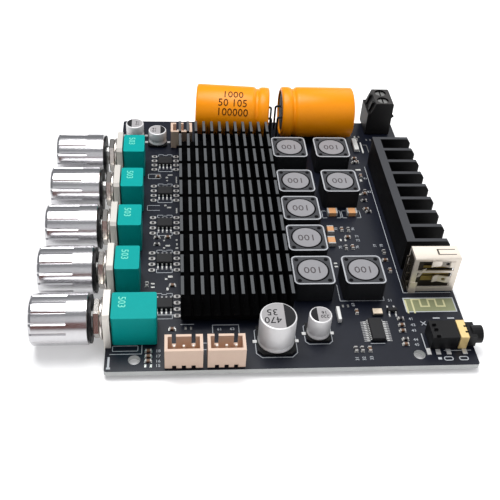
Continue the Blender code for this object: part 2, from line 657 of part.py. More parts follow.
def make_big_capacitors(finishes):
    """Make the two large cans lying at the far edge, their seals and their bent leads."""
    half = CAP_LENGTH / 2
    mouth = CAP_RADIUS - CAP_CAN_WALL
    seal_end = CAP_SEAL_RECESS + CAP_SEAL_THICKNESS
    groove = CAP_RADIUS - CAP_GROOVE_DEPTH
    start = -half + CAP_GROOVE_OFFSET
    can_stations = [(-half + seal_end + SEAT_GAP, mouth), (-half, mouth),
                    (-half, CAP_RADIUS - CAP_ROLL), (-half + CAP_ROLL, CAP_RADIUS),
                    (start - CAP_GROOVE_WIDTH / 2, CAP_RADIUS), (start, groove),
                    (start + CAP_GROOVE_WIDTH / 2, CAP_RADIUS),
                    (half - CAP_ROLL, CAP_RADIUS), (half, CAP_RADIUS - CAP_ROLL)]
    for number, (x, y, yaw, facing) in enumerate((
            (TURNED_CAP_X, TURNED_CAP_Y, -CAP_YAW, 1), (STRAIGHT_CAP_X, CAP_Y, 0.0, -1))):
        place = (x, y, CAP_Z)
        lying = Matrix.Rotation(math.radians(-90.0 * facing), 4, "Y")
        can = bmesh.new()
        lathe(can, can_stations, 24, lying)
        add_piece(f"big_capacitor_{number + 1}", can, finishes["sleeve"], place, yaw)
        seal = bmesh.new()
        lathe(seal, [(-half + CAP_SEAL_RECESS, mouth - SEAT_GAP),
                     (-half + seal_end, mouth - SEAT_GAP)], LARGE_ROUND_SIDES, lying)
        seal = add_piece(f"capacitor_seal_{number + 1}", seal, finishes["rubber"], place, yaw)
        leads = bmesh.new()
        for side in (-1, 1):
            reach = half + CAP_LEAD_REACH
            flip = Matrix.Diagonal((facing, 1.0, 1.0, 1.0))
            bent_lead(leads, flip, side, reach)
            foot = (Matrix.Translation(place) @ Matrix.Rotation(yaw, 4, "Z")
                    @ Vector((facing * reach, side * CAP_LEAD_PITCH / 2, 0.0)))
            board_holes.append((foot.x, foot.y, CAP_LEAD_RADIUS + HOLE_GAP))
        combine(seal, leads, "leads", "UNION")


def make_upright_capacitors(finishes):
    """Make the four upright cans, each joined to the moulded base that it stands on."""
    small = (SMALL_CAN_RADIUS, SMALL_CAN_HEIGHT)
    places = (((LARGE_CAN_RADIUS, LARGE_CAN_HEIGHT), LARGE_CAN_PLACE),
              ((MEDIUM_CAN_RADIUS, MEDIUM_CAN_HEIGHT), MEDIUM_CAN_PLACE),
              (small, (CORNER_CAN_X, CAP_Y - CORNER_CAN_FROM_CAP)),
              (small, (INNER_CAN_X, CAP_Y - INNER_CAN_FROM_CAP)))
    for number, ((radius, height), (x, y)) in enumerate(places):
        half = radius + CAN_BASE_MARGIN
        corner = half - radius / 3
        outline = [(half, half), (-half, half), (-half, -corner), (-corner, -half),
                   (corner, -half), (half, -corner)]
        base = bmesh.new()
        extrude_outline(base, [(u, v, 0.0) for u, v in outline], (0.0, 0.0, 0.0),
                        (0.0, 0.0, CAN_BASE_HEIGHT - SEAT_GAP))
        base = add_piece(f"upright_capacitor_{number + 1}", base, finishes["can"],
                         (x, y, SEAT_GAP))
        rolled = radius - CAN_TOP_ROLL
        foot = CAN_BASE_HEIGHT - SEAT_GAP
        waist = foot + CAN_BASE_HEIGHT / 2
        top = height - SEAT_GAP
        can = bmesh.new()
        lathe(can, [(foot - JOIN_DEPTH, rolled), (foot, rolled), (foot + CAN_TOP_ROLL, radius),
                    (waist, radius), (waist + CAN_WAIST, radius - CAN_WAIST),
                    (waist + CAN_WAIST * 2, radius), (top - CAN_TOP_ROLL, radius),
                    (top, rolled)], ROUND_SIDES)
        combine(base, can, "can", "UNION")


def make_header(number, left, near, pin_count, finishes):
    """Make one open-topped header housing with its pins pressed through the floor."""
    width = HEADER_WIDTH - (3 - pin_count) * HEADER_PITCH
    middle = (left + width / 2, near + HEADER_DEPTH / 2)
    housing = bmesh.new()
    add_centred_box(housing, (0.0, 0.0), (width, HEADER_DEPTH, HEADER_HEIGHT - SEAT_GAP),
                    SEAT_GAP)
    place = (*middle, 0.0)
    housing = add_piece(f"pin_header_{number}", housing, finishes["cream"], place)
    floor = SEAT_GAP + HEADER_FLOOR
    cavity = bmesh.new()
    add_centred_box(cavity, (0.0, 0.0), (width - 2 * HEADER_WALL,
                                         HEADER_DEPTH - 2 * HEADER_WALL, HEADER_HEIGHT), floor)
    cut_away(housing, cavity, "cavity")
    openings = bmesh.new()
    pins = bmesh.new()
    for side in (-1, 1):
        x = side * (width / 2 - HEADER_WALL * 3)
        add_box(openings, (x - HEADER_NOTCH_WIDTH / 2, HEADER_DEPTH / 2 - HEADER_WALL * 1.5,
                           HEADER_HEIGHT - HEADER_NOTCH_DEPTH),
                (x + HEADER_NOTCH_WIDTH / 2, HEADER_DEPTH, HEADER_HEIGHT * 2))
    for index in range(pin_count):
        x = (index - (pin_count - 1) / 2) * HEADER_PITCH
        add_box(openings, (x - HEADER_NOTCH_WIDTH / 2, -HEADER_DEPTH, -HEADER_FLOOR),
                (x + HEADER_NOTCH_WIDTH / 2, HEADER_WALL - HEADER_DEPTH / 2, HEADER_SLOT_HEIGHT))
        add_lead(pins, place, (x, 0.0), HEADER_PIN_SIDE, HEADER_PIN_TOP)
    cut_away(housing, openings, "openings")
    combine(housing, pins, "pins", "UNION")


def make_headers(finishes):
    """Make the two near headers and the smaller one behind the heatsink."""
    for index in range(2):
        make_header(index + 1, HEADER_FIRST_X + index * HEADER_STEP_X, HEADER_Y, 3, finishes)
    make_header(3, SMALL_HEADER_X, SMALL_HEADER_Y, 2, finishes)


def make_inductors(finishes):
    """Make the eight power inductors, two columns of moulded blocks with round corners."""
    rings = []
    for height, shrink in ((0.0, 0.0), (COIL_HEIGHT - COIL_TOP_BEVEL - SEAT_GAP, 0.0),
                           (COIL_HEIGHT - SEAT_GAP, COIL_TOP_BEVEL)):
        side = COIL_SIDE - 2 * shrink
        ring = rounded_rectangle(side, side, COIL_CORNER - shrink, steps=2)
        rings.append([(u, v, height) for u, v in ring])
    places = [(COIL_LEFT_X, row) for row in range(COIL_ROWS)]
    places += [(COIL_RIGHT_X, row) for row in COIL_RIGHT_ROWS]
    for number, (x, row) in enumerate(places):
        y = COIL_FIRST_Y + row * COIL_PITCH + (COIL_FAR_STEP if row == COIL_ROWS - 1 else 0.0)
        coil = bmesh.new()
        loft(coil, rings)
        add_piece(f"power_inductor_{number + 1}", coil, finishes["ferrite"],
                  (x + COIL_SIDE / 2, y + COIL_SIDE / 2, SEAT_GAP))


def make_terminal_block(finishes):
    """Make the screw terminal block with its clamps, contacts and screws."""
    right = TERMINAL_RIGHT_X
    left = right - TERMINAL_WIDTH
    ledge = left + TERMINAL_LEDGE_WIDTH
    shoulder = ledge + TERMINAL_LEDGE_WIDTH + TERMINAL_TOP_BEVEL
    nose_z = TERMINAL_NOSE_HEIGHT
    outline = [(left, SEAT_GAP), (right, SEAT_GAP), (right, nose_z - TERMINAL_NOSE),
               (right + TERMINAL_NOSE, nose_z), (right, nose_z + TERMINAL_NOSE),
               (right, TERMINAL_TOP - TERMINAL_TOP_BEVEL),
               (right - TERMINAL_TOP_BEVEL, TERMINAL_TOP), (shoulder, TERMINAL_TOP),
               (ledge, TERMINAL_LEDGE_HEIGHT), (left, TERMINAL_LEDGE_HEIGHT)]
    block = bmesh.new()
    extrude_outline(block, [(x, 0.0, z) for x, z in outline], (0.0, TERMINAL_NEAR_Y, 0.0),
                    (0.0, TERMINAL_LENGTH, 0.0))
    block = add_piece("terminal_block", block, finishes["black"])

    chamber_width = TERMINAL_PITCH - 2 * TERMINAL_WALL
    clamp_width = chamber_width - 2 * SEAT_GAP
    floor = SEAT_GAP + TERMINAL_FLOOR
    clamp_z = floor + SEAT_GAP
    chamber_top = clamp_z + CLAMP_HEIGHT + CLAMP_TRAVEL + SEAT_GAP
    bar_top = clamp_z + CLAMP_HEIGHT - CLAMP_ROOF - SEAT_GAP
    head_z = TERMINAL_TOP - TERMINAL_SCREW_SUNK - TERMINAL_SCREW_HEAD
    leg_x = TERMINAL_AXIS_X - CLAMP_LENGTH / 2 - SEAT_GAP - CONTACT_THICKNESS
    half = CONTACT_PIN_SIDE / 2
    hollow = bmesh.new()
    ribs = bmesh.new()
    contacts = bmesh.new()
    for pole in range(TERMINAL_POLES):
        y = TERMINAL_NEAR_Y + (pole + 0.5) * TERMINAL_PITCH
        at = Matrix.Translation((TERMINAL_AXIS_X, y, 0.0))
        add_box(hollow, (leg_x - SEAT_GAP, y - chamber_width / 2, floor),
                (right + TERMINAL_NOSE * 2, y + chamber_width / 2, chamber_top))
        lathe(hollow, [(chamber_top - SEAT_GAP, TERMINAL_SHANK_RADIUS + SEAT_GAP),
                       (head_z, TERMINAL_SHANK_RADIUS + SEAT_GAP)], BORE_SIDES, at)
        lathe(hollow, [(head_z - SEAT_GAP, TERMINAL_SCREW_RADIUS + SEAT_GAP),
                       (TERMINAL_TOP * 2, TERMINAL_SCREW_RADIUS + SEAT_GAP)], SMALL_ROUND_SIDES, at)
        rib = TERMINAL_WALL
        extrude_outline(ribs, [(left + rib, 0.0, TERMINAL_LEDGE_HEIGHT - rib),
                               (left + rib, 0.0, TERMINAL_LEDGE_HEIGHT + rib),
                               (ledge + rib / 2, 0.0, TERMINAL_TOP - TERMINAL_NOSE),
                               (shoulder + rib, 0.0, TERMINAL_TOP - TERMINAL_NOSE),
                               (shoulder + rib, 0.0, TERMINAL_LEDGE_HEIGHT - rib)],
                        (0.0, y - rib, 0.0), (0.0, rib * 2, 0.0))
        make_clamp(pole + 1, y, clamp_z, clamp_width, finishes)
        make_terminal_screw(pole + 1, y, head_z, bar_top + SEAT_GAP, finishes)
        bar_right = TERMINAL_AXIS_X + CLAMP_LENGTH / 2
        profile = [(leg_x, PART_BOTTOM), (leg_x + CONTACT_THICKNESS, PART_BOTTOM),
                   (leg_x + CONTACT_THICKNESS, bar_top - CONTACT_THICKNESS),
                   (bar_right, bar_top - CONTACT_THICKNESS), (bar_right, bar_top),
                   (leg_x, bar_top)]
        extrude_outline(contacts, [(x, 0.0, z) for x, z in profile], (0.0, y - half, 0.0),
                        (0.0, CONTACT_PIN_SIDE, 0.0))
        board_holes.append((leg_x + CONTACT_THICKNESS / 2, y,
                            math.hypot(half, CONTACT_THICKNESS / 2) + HOLE_GAP))
    combine(block, ribs, "ribs", "UNION")
    cut_away(block, hollow, "hollow")
    combine(block, contacts, "contacts", "UNION")


def make_clamp(number, y, base, width, finishes):
    """Make one rising clamp: a frame round the contact bar with a screw hole in its roof."""
    clamp = bmesh.new()
    add_centred_box(clamp, (0.0, 0.0), (CLAMP_LENGTH, width, CLAMP_HEIGHT), 0.0)
    clamp = add_piece(f"terminal_clamp_{number}", clamp, finishes["brass"],
                      (TERMINAL_AXIS_X, y, base))
    inside = bmesh.new()
    add_centred_box(inside, (0.0, 0.0), (CLAMP_LENGTH * 2, width - 2 * CLAMP_WALL,
                                         CLAMP_HEIGHT - CLAMP_WALL - CLAMP_ROOF), CLAMP_WALL)
    lathe(inside, [(CLAMP_HEIGHT / 2, TERMINAL_SHANK_RADIUS + SEAT_GAP),
                   (CLAMP_HEIGHT * 2, TERMINAL_SHANK_RADIUS + SEAT_GAP)], BORE_SIDES)
    cut_away(clamp, inside, "inside")


def make_terminal_screw(number, y, head_z, tip_z, finishes):
    """Make one slotted clamp screw that stands on the contact bar."""
    top = head_z + TERMINAL_SCREW_HEAD
    screw = bmesh.new()
    lathe(screw, [(tip_z, TERMINAL_SHANK_RADIUS), (head_z, TERMINAL_SHANK_RADIUS),
                  (head_z, TERMINAL_SCREW_RADIUS), (top, TERMINAL_SCREW_RADIUS)], SMALL_ROUND_SIDES)
    screw = add_piece(f"terminal_screw_{number}", screw, finishes["steel"],
                      (TERMINAL_AXIS_X, y, 0.0))
    slot = bmesh.new()
    add_box(slot, (-SCREW_SLOT_WIDTH / 2, -TERMINAL_SCREW_RADIUS * 2, top - SCREW_SLOT_DEPTH),
            (SCREW_SLOT_WIDTH / 2, TERMINAL_SCREW_RADIUS * 2, top + SCREW_SLOT_DEPTH))
    cut_away(screw, slot, "slot")


def make_usb_socket(finishes):
    """Make the folded data socket shell with its springs, and its insulator and contacts."""
    front = USB_FRONT_X
    rear = front - USB_LENGTH
    middle_y = USB_NEAR_Y + USB_DEPTH / 2
    middle_z = USB_LIFT + USB_HEIGHT / 2

    def ring(x, grow):
        """Return the socket's outline at x, larger by grow on each side."""
        points = rounded_rectangle(USB_DEPTH + 2 * grow, USB_HEIGHT + 2 * grow,
                                   USB_CORNER + grow, steps=2)
        return [(x, middle_y + u, middle_z + v) for u, v in points]

    flare_x = front - USB_FLARE_LENGTH
    shell = bmesh.new()
    loft(shell, [ring(rear, 0.0), ring(flare_x, 0.0), ring(front, USB_FLARE),
                 ring(front, USB_FLARE - USB_WALL), ring(flare_x, -USB_WALL),
                 ring(rear, -USB_WALL)], closed=True)
    shell = add_piece("usb_shell", shell, finishes["bright"])

    feet = bmesh.new()
    foot_x = rear + USB_SPRING_WIDTH / 2
    proud = USB_WALL / 4
    for low_y in (USB_NEAR_Y - proud, USB_NEAR_Y + USB_DEPTH + proud - USB_WALL):
        add_box(feet, (foot_x, low_y, PART_BOTTOM),
                (foot_x + USB_SPRING_WIDTH, low_y + USB_WALL, USB_LIFT + USB_CORNER * 4))
        board_holes.append((foot_x + USB_SPRING_WIDTH / 2, low_y + USB_WALL / 2,
                            math.hypot(USB_SPRING_WIDTH, USB_WALL) / 2 + HOLE_GAP))
    combine(shell, feet, "feet", "UNION")

    slots = bmesh.new()
    free_x = front - USB_SPRING_FRONT - USB_SPRING_LENGTH
    for middle in (middle_z - USB_HEIGHT / 4, middle_z + USB_HEIGHT / 4):
        outline = spring_slot(free_x, middle)
        extrude_outline(slots, [(x, 0.0, z) for x, z in outline],
                        (0.0, USB_NEAR_Y - USB_DEPTH, 0.0), (0.0, USB_DEPTH * 3, 0.0))
    cut_away(shell, slots, "side_springs")
    slots = bmesh.new()
    outline = spring_slot(free_x, middle_y)
    extrude_outline(slots, [(x, y, 0.0) for x, y in outline], (0.0, 0.0, middle_z),
                    (0.0, 0.0, USB_HEIGHT))
    cut_away(shell, slots, "top_spring")

    inner_y = USB_DEPTH / 2 - USB_WALL - SEAT_GAP
    inner_z = USB_HEIGHT / 2 - USB_WALL - USB_CORNER
    tongue_far = middle_y + inner_y - USB_WALL
    tongue_near = tongue_far - USB_TONGUE_THICKNESS
    block_x = rear + USB_BLOCK_LENGTH
    tip_x = front - USB_TONGUE_SHORT
    outline = [(rear, middle_y - inner_y), (block_x, middle_y - inner_y),
               (block_x, tongue_near), (tip_x, tongue_near), (tip_x, tongue_far),
               (block_x, tongue_far), (block_x, middle_y + inner_y), (rear, middle_y + inner_y)]
    insulator = bmesh.new()
    extrude_outline(insulator, [(x, y, 0.0) for x, y in outline],
                    (0.0, 0.0, middle_z - inner_z), (0.0, 0.0, inner_z * 2))
    insulator = add_piece("usb_insulator", insulator, finishes["white"])

    contacts = bmesh.new()
    half = USB_PIN_SIDE / 2
    for index in range(4):
        y = middle_y + (index - 1.5) * USB_PIN_SPREAD
        z = middle_z + (index - 1.5) * USB_PIN_STEP
        back = rear + JOIN_DEPTH
        bend = rear - USB_PIN_REACH
        profile = [(bend - half, PART_BOTTOM), (bend + half, PART_BOTTOM),
                   (bend + half, z - half), (back, z - half), (back, z + half),
                   (bend - half, z + half)]
        extrude_outline(contacts, [(x, 0.0, w) for x, w in profile], (0.0, y - half, 0.0),
                        (0.0, USB_PIN_SIDE, 0.0))
        board_holes.append((bend, y, USB_PIN_SIDE * math.sqrt(0.5) + HOLE_GAP / 2))
    combine(insulator, contacts, "contacts", "UNION")


def spring_slot(free_x, middle):
    """Return the U-shaped slot that frees a spring tongue, as points along X and across."""
    wide = USB_SPRING_WIDTH / 2
    narrow = wide - USB_SPRING_SLOT
    held_x = free_x + USB_SPRING_LENGTH
    return [(held_x, middle + wide), (free_x, middle + wide), (free_x, middle - wide),
            (held_x, middle - wide), (held_x, middle - narrow),
            (free_x + USB_SPRING_SLOT, middle - narrow),
            (free_x + USB_SPRING_SLOT, middle + narrow), (held_x, middle + narrow)]


def make_jack(finishes):
    """Make the round audio socket: a stepped body with a bored barrel, and its metal band."""
    y = JACK_NEAR_Y + JACK_WIDTH / 2
    z = SEAT_GAP + JACK_HEIGHT / 2

    def ring(x, inset):
        """Return the body's rectangle at x, smaller by inset on each side."""
        u = JACK_WIDTH / 2 - inset
        v = JACK_HEIGHT / 2 - inset
        return [(x, y + u, z + v), (x, y - u, z + v), (x, y - u, z - v), (x, y + u, z - v)]

    neck = JACK_BAND_THICKNESS + SEAT_GAP
    neck_x = JACK_BODY_X + JACK_BODY_LENGTH
    flange_x = neck_x + JACK_NECK_LENGTH
    body = bmesh.new()
    loft(body, [ring(JACK_BODY_X, 0.0), ring(neck_x, 0.0), ring(neck_x, neck),
                ring(flange_x, neck), ring(flange_x, neck / 2), ring(BOARD_WIDTH, neck / 2)])
    body = add_piece("jack_body", body, finishes["black"])
    to_right = Matrix.Translation((0.0, y, z)) @ Matrix.Rotation(math.radians(90.0), 4, "Y")
    barrel = bmesh.new()
    lathe(barrel, [(flange_x + JACK_FLANGE_LENGTH / 2, JACK_BARREL_RADIUS),
                   (BOARD_WIDTH + JACK_BARREL_LENGTH, JACK_BARREL_RADIUS)], ROUND_SIDES, to_right)
    combine(body, barrel, "barrel", "UNION")
    bore = bmesh.new()
    lathe(bore, [(BOARD_WIDTH + JACK_BARREL_LENGTH - JACK_BORE_DEPTH, JACK_BORE_RADIUS),
                 (BOARD_WIDTH + JACK_BARREL_LENGTH * 2, JACK_BORE_RADIUS)], SMALL_ROUND_SIDES, to_right)
    cut_away(body, bore, "bore")
    band = bmesh.new()
    low = neck_x + SEAT_GAP
    high = flange_x - SEAT_GAP
    loft(band, [ring(low, 0.0), ring(high, 0.0), ring(high, JACK_BAND_THICKNESS),
                ring(low, JACK_BAND_THICKNESS)], closed=True)
    add_piece("jack_band", band, finishes["gold"])


def small_parts():
    """Return the shape of the small soldered parts, which are joined to the board."""
    parts = bmesh.new()

    def solder(x, y, size):
        """Add one part's block, its foot sunk a little into the board's face."""
        add_centred_box(parts, (x, y), (size[0], size[1], size[2] + SOLDER_DEPTH), -SOLDER_DEPTH)

    for y in CHIP_ROWS_Y:
        solder(CHIP_COLUMN_X, y, (CHIP_LENGTH, CHIP_WIDTH, CHIP_HEIGHT))
    solder(*REGULATOR_PLACE, REGULATOR_SIZE)
    row_y = COIL_FIRST_Y + 3 * COIL_PITCH - CERAMIC_FAR_GAP - CERAMIC_SIZE[1] / 2
    for x in (COIL_RIGHT_X + COIL_SIDE / 4, COIL_RIGHT_X + COIL_SIDE * 5 / 6):
        solder(x, row_y, CERAMIC_SIZE)
    solder(*LINK_PLACE, LINK_SIZE)
    bar_x = STRAIGHT_CAP_X + CAP_LENGTH / 2 + BAR_GAP / 2 + BAR_SIZE[0] / 2
    solder(bar_x, SINK_FAR_Y + BAR_Y_OFFSET, BAR_SIZE)
    return parts


def make_own_small_parts(finishes):
    """Make the control chip and the crystal, which are pieces of their own."""
    for name, place, size, look in (("control_chip", CONTROL_CHIP_PLACE, CONTROL_CHIP_SIZE, "black"),
                                    ("crystal", CRYSTAL_PLACE, CRYSTAL_SIZE, "steel")):
        part = bmesh.new()
        add_centred_box(part, (0.0, 0.0), size, 0.0)
        add_piece(name, part, finishes[look], (*place, SEAT_GAP))


def make_board(finishes):
    """Make the circuit board and bore its screw holes and every lead's hole."""
    board = bmesh.new()
    outline = rounded_rectangle(BOARD_WIDTH, BOARD_DEPTH, BOARD_CORNER, steps=3)
    extrude_outline(board, [(u, v, 0.0) for u, v in outline],
                    (BOARD_WIDTH / 2, BOARD_DEPTH / 2, -BOARD_THICKNESS),
                    (0.0, 0.0, BOARD_THICKNESS))
    board = add_piece("circuit_board", board, finishes["board"])
    combine(board, small_parts(), "small_parts", "UNION")
    holes = bmesh.new()
    for x, y, radius in board_holes:
        at = Matrix.Translation((x, y, -BOARD_THICKNESS))
        corner = radius / math.cos(math.pi / HOLE_SIDES)
        lathe(holes, [(-BOARD_THICKNESS, corner), (BOARD_THICKNESS * 2, corner)], HOLE_SIDES, at)
    for x, y in ((SCREW_HOLE_INSET_X, SCREW_HOLE_INSET_Y),
                 (BOARD_WIDTH - SCREW_HOLE_RIGHT_INSET, SCREW_HOLE_INSET_Y)):
        at = Matrix.Translation((x, y, -BOARD_THICKNESS))
        lathe(holes, [(-BOARD_THICKNESS, SCREW_HOLE_RADIUS),
                      (BOARD_THICKNESS * 2, SCREW_HOLE_RADIUS)], ROUND_SIDES, at)
    cut_away(board, holes, "holes")


def main():
    """Clear the scene and build the whole amplifier board."""
    for old in list(bpy.data.objects):
        bpy.data.objects.remove(old, do_unlink=True)
    origin = bpy.data.objects.new("board_origin", None)
    bpy.context.scene.collection.objects.link(origin)
    origin.location = (-(PART_LEFT + PART_RIGHT) / 2, -(PART_NEAR + PART_FAR) / 2, -PART_BOTTOM)

    finishes = {
        "board": finish("board_mask", (0.012, 0.014, 0.022), 0.35),
        "green": finish("green_moulding", (0.0, 0.45, 0.40), 0.45),
        "plated": finish("plated_steel", (0.72, 0.69, 0.62), 0.35, 1.0),
        "steel": finish("bright_steel", (0.62, 0.62, 0.60), 0.30, 1.0),
        "chrome": finish("knob_chrome", (0.85, 0.85, 0.86), 0.08, 1.0),
        "black": finish("black_moulding", (0.015, 0.015, 0.016), 0.5),
        "tin": finish("tinned_wire", (0.70, 0.70, 0.68), 0.30, 1.0),
        "black_metal": finish("black_anodised", (0.02, 0.02, 0.022), 0.42, 0.6),
        "sleeve": finish("orange_sleeve", (0.95, 0.38, 0.02), 0.35),
        "rubber": finish("seal_rubber", (0.02, 0.02, 0.02), 0.7),
        "can": finish("can_aluminium", (0.66, 0.66, 0.65), 0.35, 1.0),
        "cream": finish("cream_moulding", (0.80, 0.66, 0.54), 0.5),
        "ferrite": finish("ferrite_moulding", (0.05, 0.05, 0.052), 0.6),
        "brass": finish("clamp_brass", (0.78, 0.58, 0.28), 0.35, 1.0),
        "bright": finish("socket_plating", (0.80, 0.76, 0.68), 0.25, 1.0),
        "white": finish("white_moulding", (0.80, 0.80, 0.78), 0.5),
        "gold": finish("gold_band", (0.90, 0.72, 0.38), 0.3, 1.0),
        "ceramic": finish("ceramic_tan", (0.48, 0.33, 0.20), 0.5),
    }
    for number in range(1, POT_COUNT + 1):
        make_potentiometer(number, finishes)
    make_main_heatsink(finishes)
    make_side_heatsink(finishes)
    make_big_capacitors(finishes)
    make_upright_capacitors(finishes)
    make_headers(finishes)
    make_inductors(finishes)
    make_terminal_block(finishes)
    make_usb_socket(finishes)
    make_jack(finishes)
    make_own_small_parts(finishes)
    make_board(finishes)


if __name__ == "__main__":
    main()
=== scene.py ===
"""The looks of a stereo audio amplifier board: finishes, fine pieces, studio and camera.

All layout values are millimetres from the board's near left corner on its upper face, with X
along the near edge, Y away from the camera and Z up. place() turns them into the frame.
"""
from __future__ import annotations

import logging
import math
from dataclasses import dataclass
from enum import Enum
from typing import Callable, Sequence

import bmesh
import bpy
from mathutils import Matrix, Vector


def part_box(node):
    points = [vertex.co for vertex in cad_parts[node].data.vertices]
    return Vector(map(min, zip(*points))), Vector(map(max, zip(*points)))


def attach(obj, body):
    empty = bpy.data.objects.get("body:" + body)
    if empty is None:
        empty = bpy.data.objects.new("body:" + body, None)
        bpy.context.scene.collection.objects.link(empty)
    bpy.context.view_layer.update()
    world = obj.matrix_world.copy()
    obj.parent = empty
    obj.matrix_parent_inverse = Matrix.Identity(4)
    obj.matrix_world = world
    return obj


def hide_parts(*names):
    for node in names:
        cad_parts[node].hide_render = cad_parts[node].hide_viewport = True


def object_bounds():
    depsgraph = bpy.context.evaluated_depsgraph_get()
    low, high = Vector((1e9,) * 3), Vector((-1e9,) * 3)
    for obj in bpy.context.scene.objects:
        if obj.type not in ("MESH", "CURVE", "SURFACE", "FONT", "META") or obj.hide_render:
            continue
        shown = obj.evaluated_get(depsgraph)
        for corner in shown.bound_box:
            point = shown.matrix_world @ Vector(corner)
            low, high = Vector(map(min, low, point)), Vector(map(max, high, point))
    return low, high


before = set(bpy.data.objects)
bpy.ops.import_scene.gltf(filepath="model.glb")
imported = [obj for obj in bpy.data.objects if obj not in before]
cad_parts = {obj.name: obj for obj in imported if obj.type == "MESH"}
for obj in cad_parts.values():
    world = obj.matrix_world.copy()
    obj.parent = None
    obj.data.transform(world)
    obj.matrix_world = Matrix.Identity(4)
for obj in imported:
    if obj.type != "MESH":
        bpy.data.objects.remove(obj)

LOG = logging.getLogger("amplifier_board")
Triple = tuple[float, float, float]
Pair = tuple[float, float]
UP: Triple = (0.0, 0.0, 1.0)
MM = 0.001
CAD_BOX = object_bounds()
BOARD_THICKNESS = 1.6
PRINT_HEIGHT = 0.03
PAD_HEIGHT = 0.04
MARK_SINK = 0.03
MARK_LIFT = 0.02
BOARD_BODY = "board"


def board_corner() -> Vector:
    """Return the board's near left upper corner in the frame, in metres."""
    low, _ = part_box("circuit_board")
    return Vector((low[0], low[1], low[2] + BOARD_THICKNESS * MM))


CORNER = board_corner()


def place(x: float, y: float, z: float = 0.0) -> Vector:
    """Return a board position, given in millimetres, as a point of the frame in metres."""
    return CORNER + Vector((x, y, z)) * MM


def node_box(name: str) -> tuple[Vector, Vector]:
    """Return a CAD node's corners in board millimetres."""
    low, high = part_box(name)
    return (Vector(low) - CORNER) / MM, (Vector(high) - CORNER) / MM


def node_middle(name: str) -> Vector:
    """Return the middle of a CAD node's box in board millimetres."""
    return sum(node_box(name), Vector()) / 2.0


def node_steps(node: str, numbers: Sequence[int]) -> dict[int, Vector]:
    """Return how far each numbered CAD node lies from the first one, in millimetres.

    Args:
        node: The nodes' name without the number.
        numbers: The numbers of the nodes, the first one's left out.

    Returns:
        The steps, by number.
    """
    start, _ = node_box(f"{node}_1")
    return {number: node_box(f"{node}_{number}")[0] - start for number in numbers}


class Axis(Enum):
    """The way that a turned shape's length runs; FAR is away from the camera."""

    LEFT = Matrix.Rotation(math.radians(-90.0), 4, "Y")
    RIGHT = Matrix.Rotation(math.radians(90.0), 4, "Y")
    UP = Matrix.Identity(4)
    FAR = Matrix.Rotation(math.radians(-90.0), 4, "X")


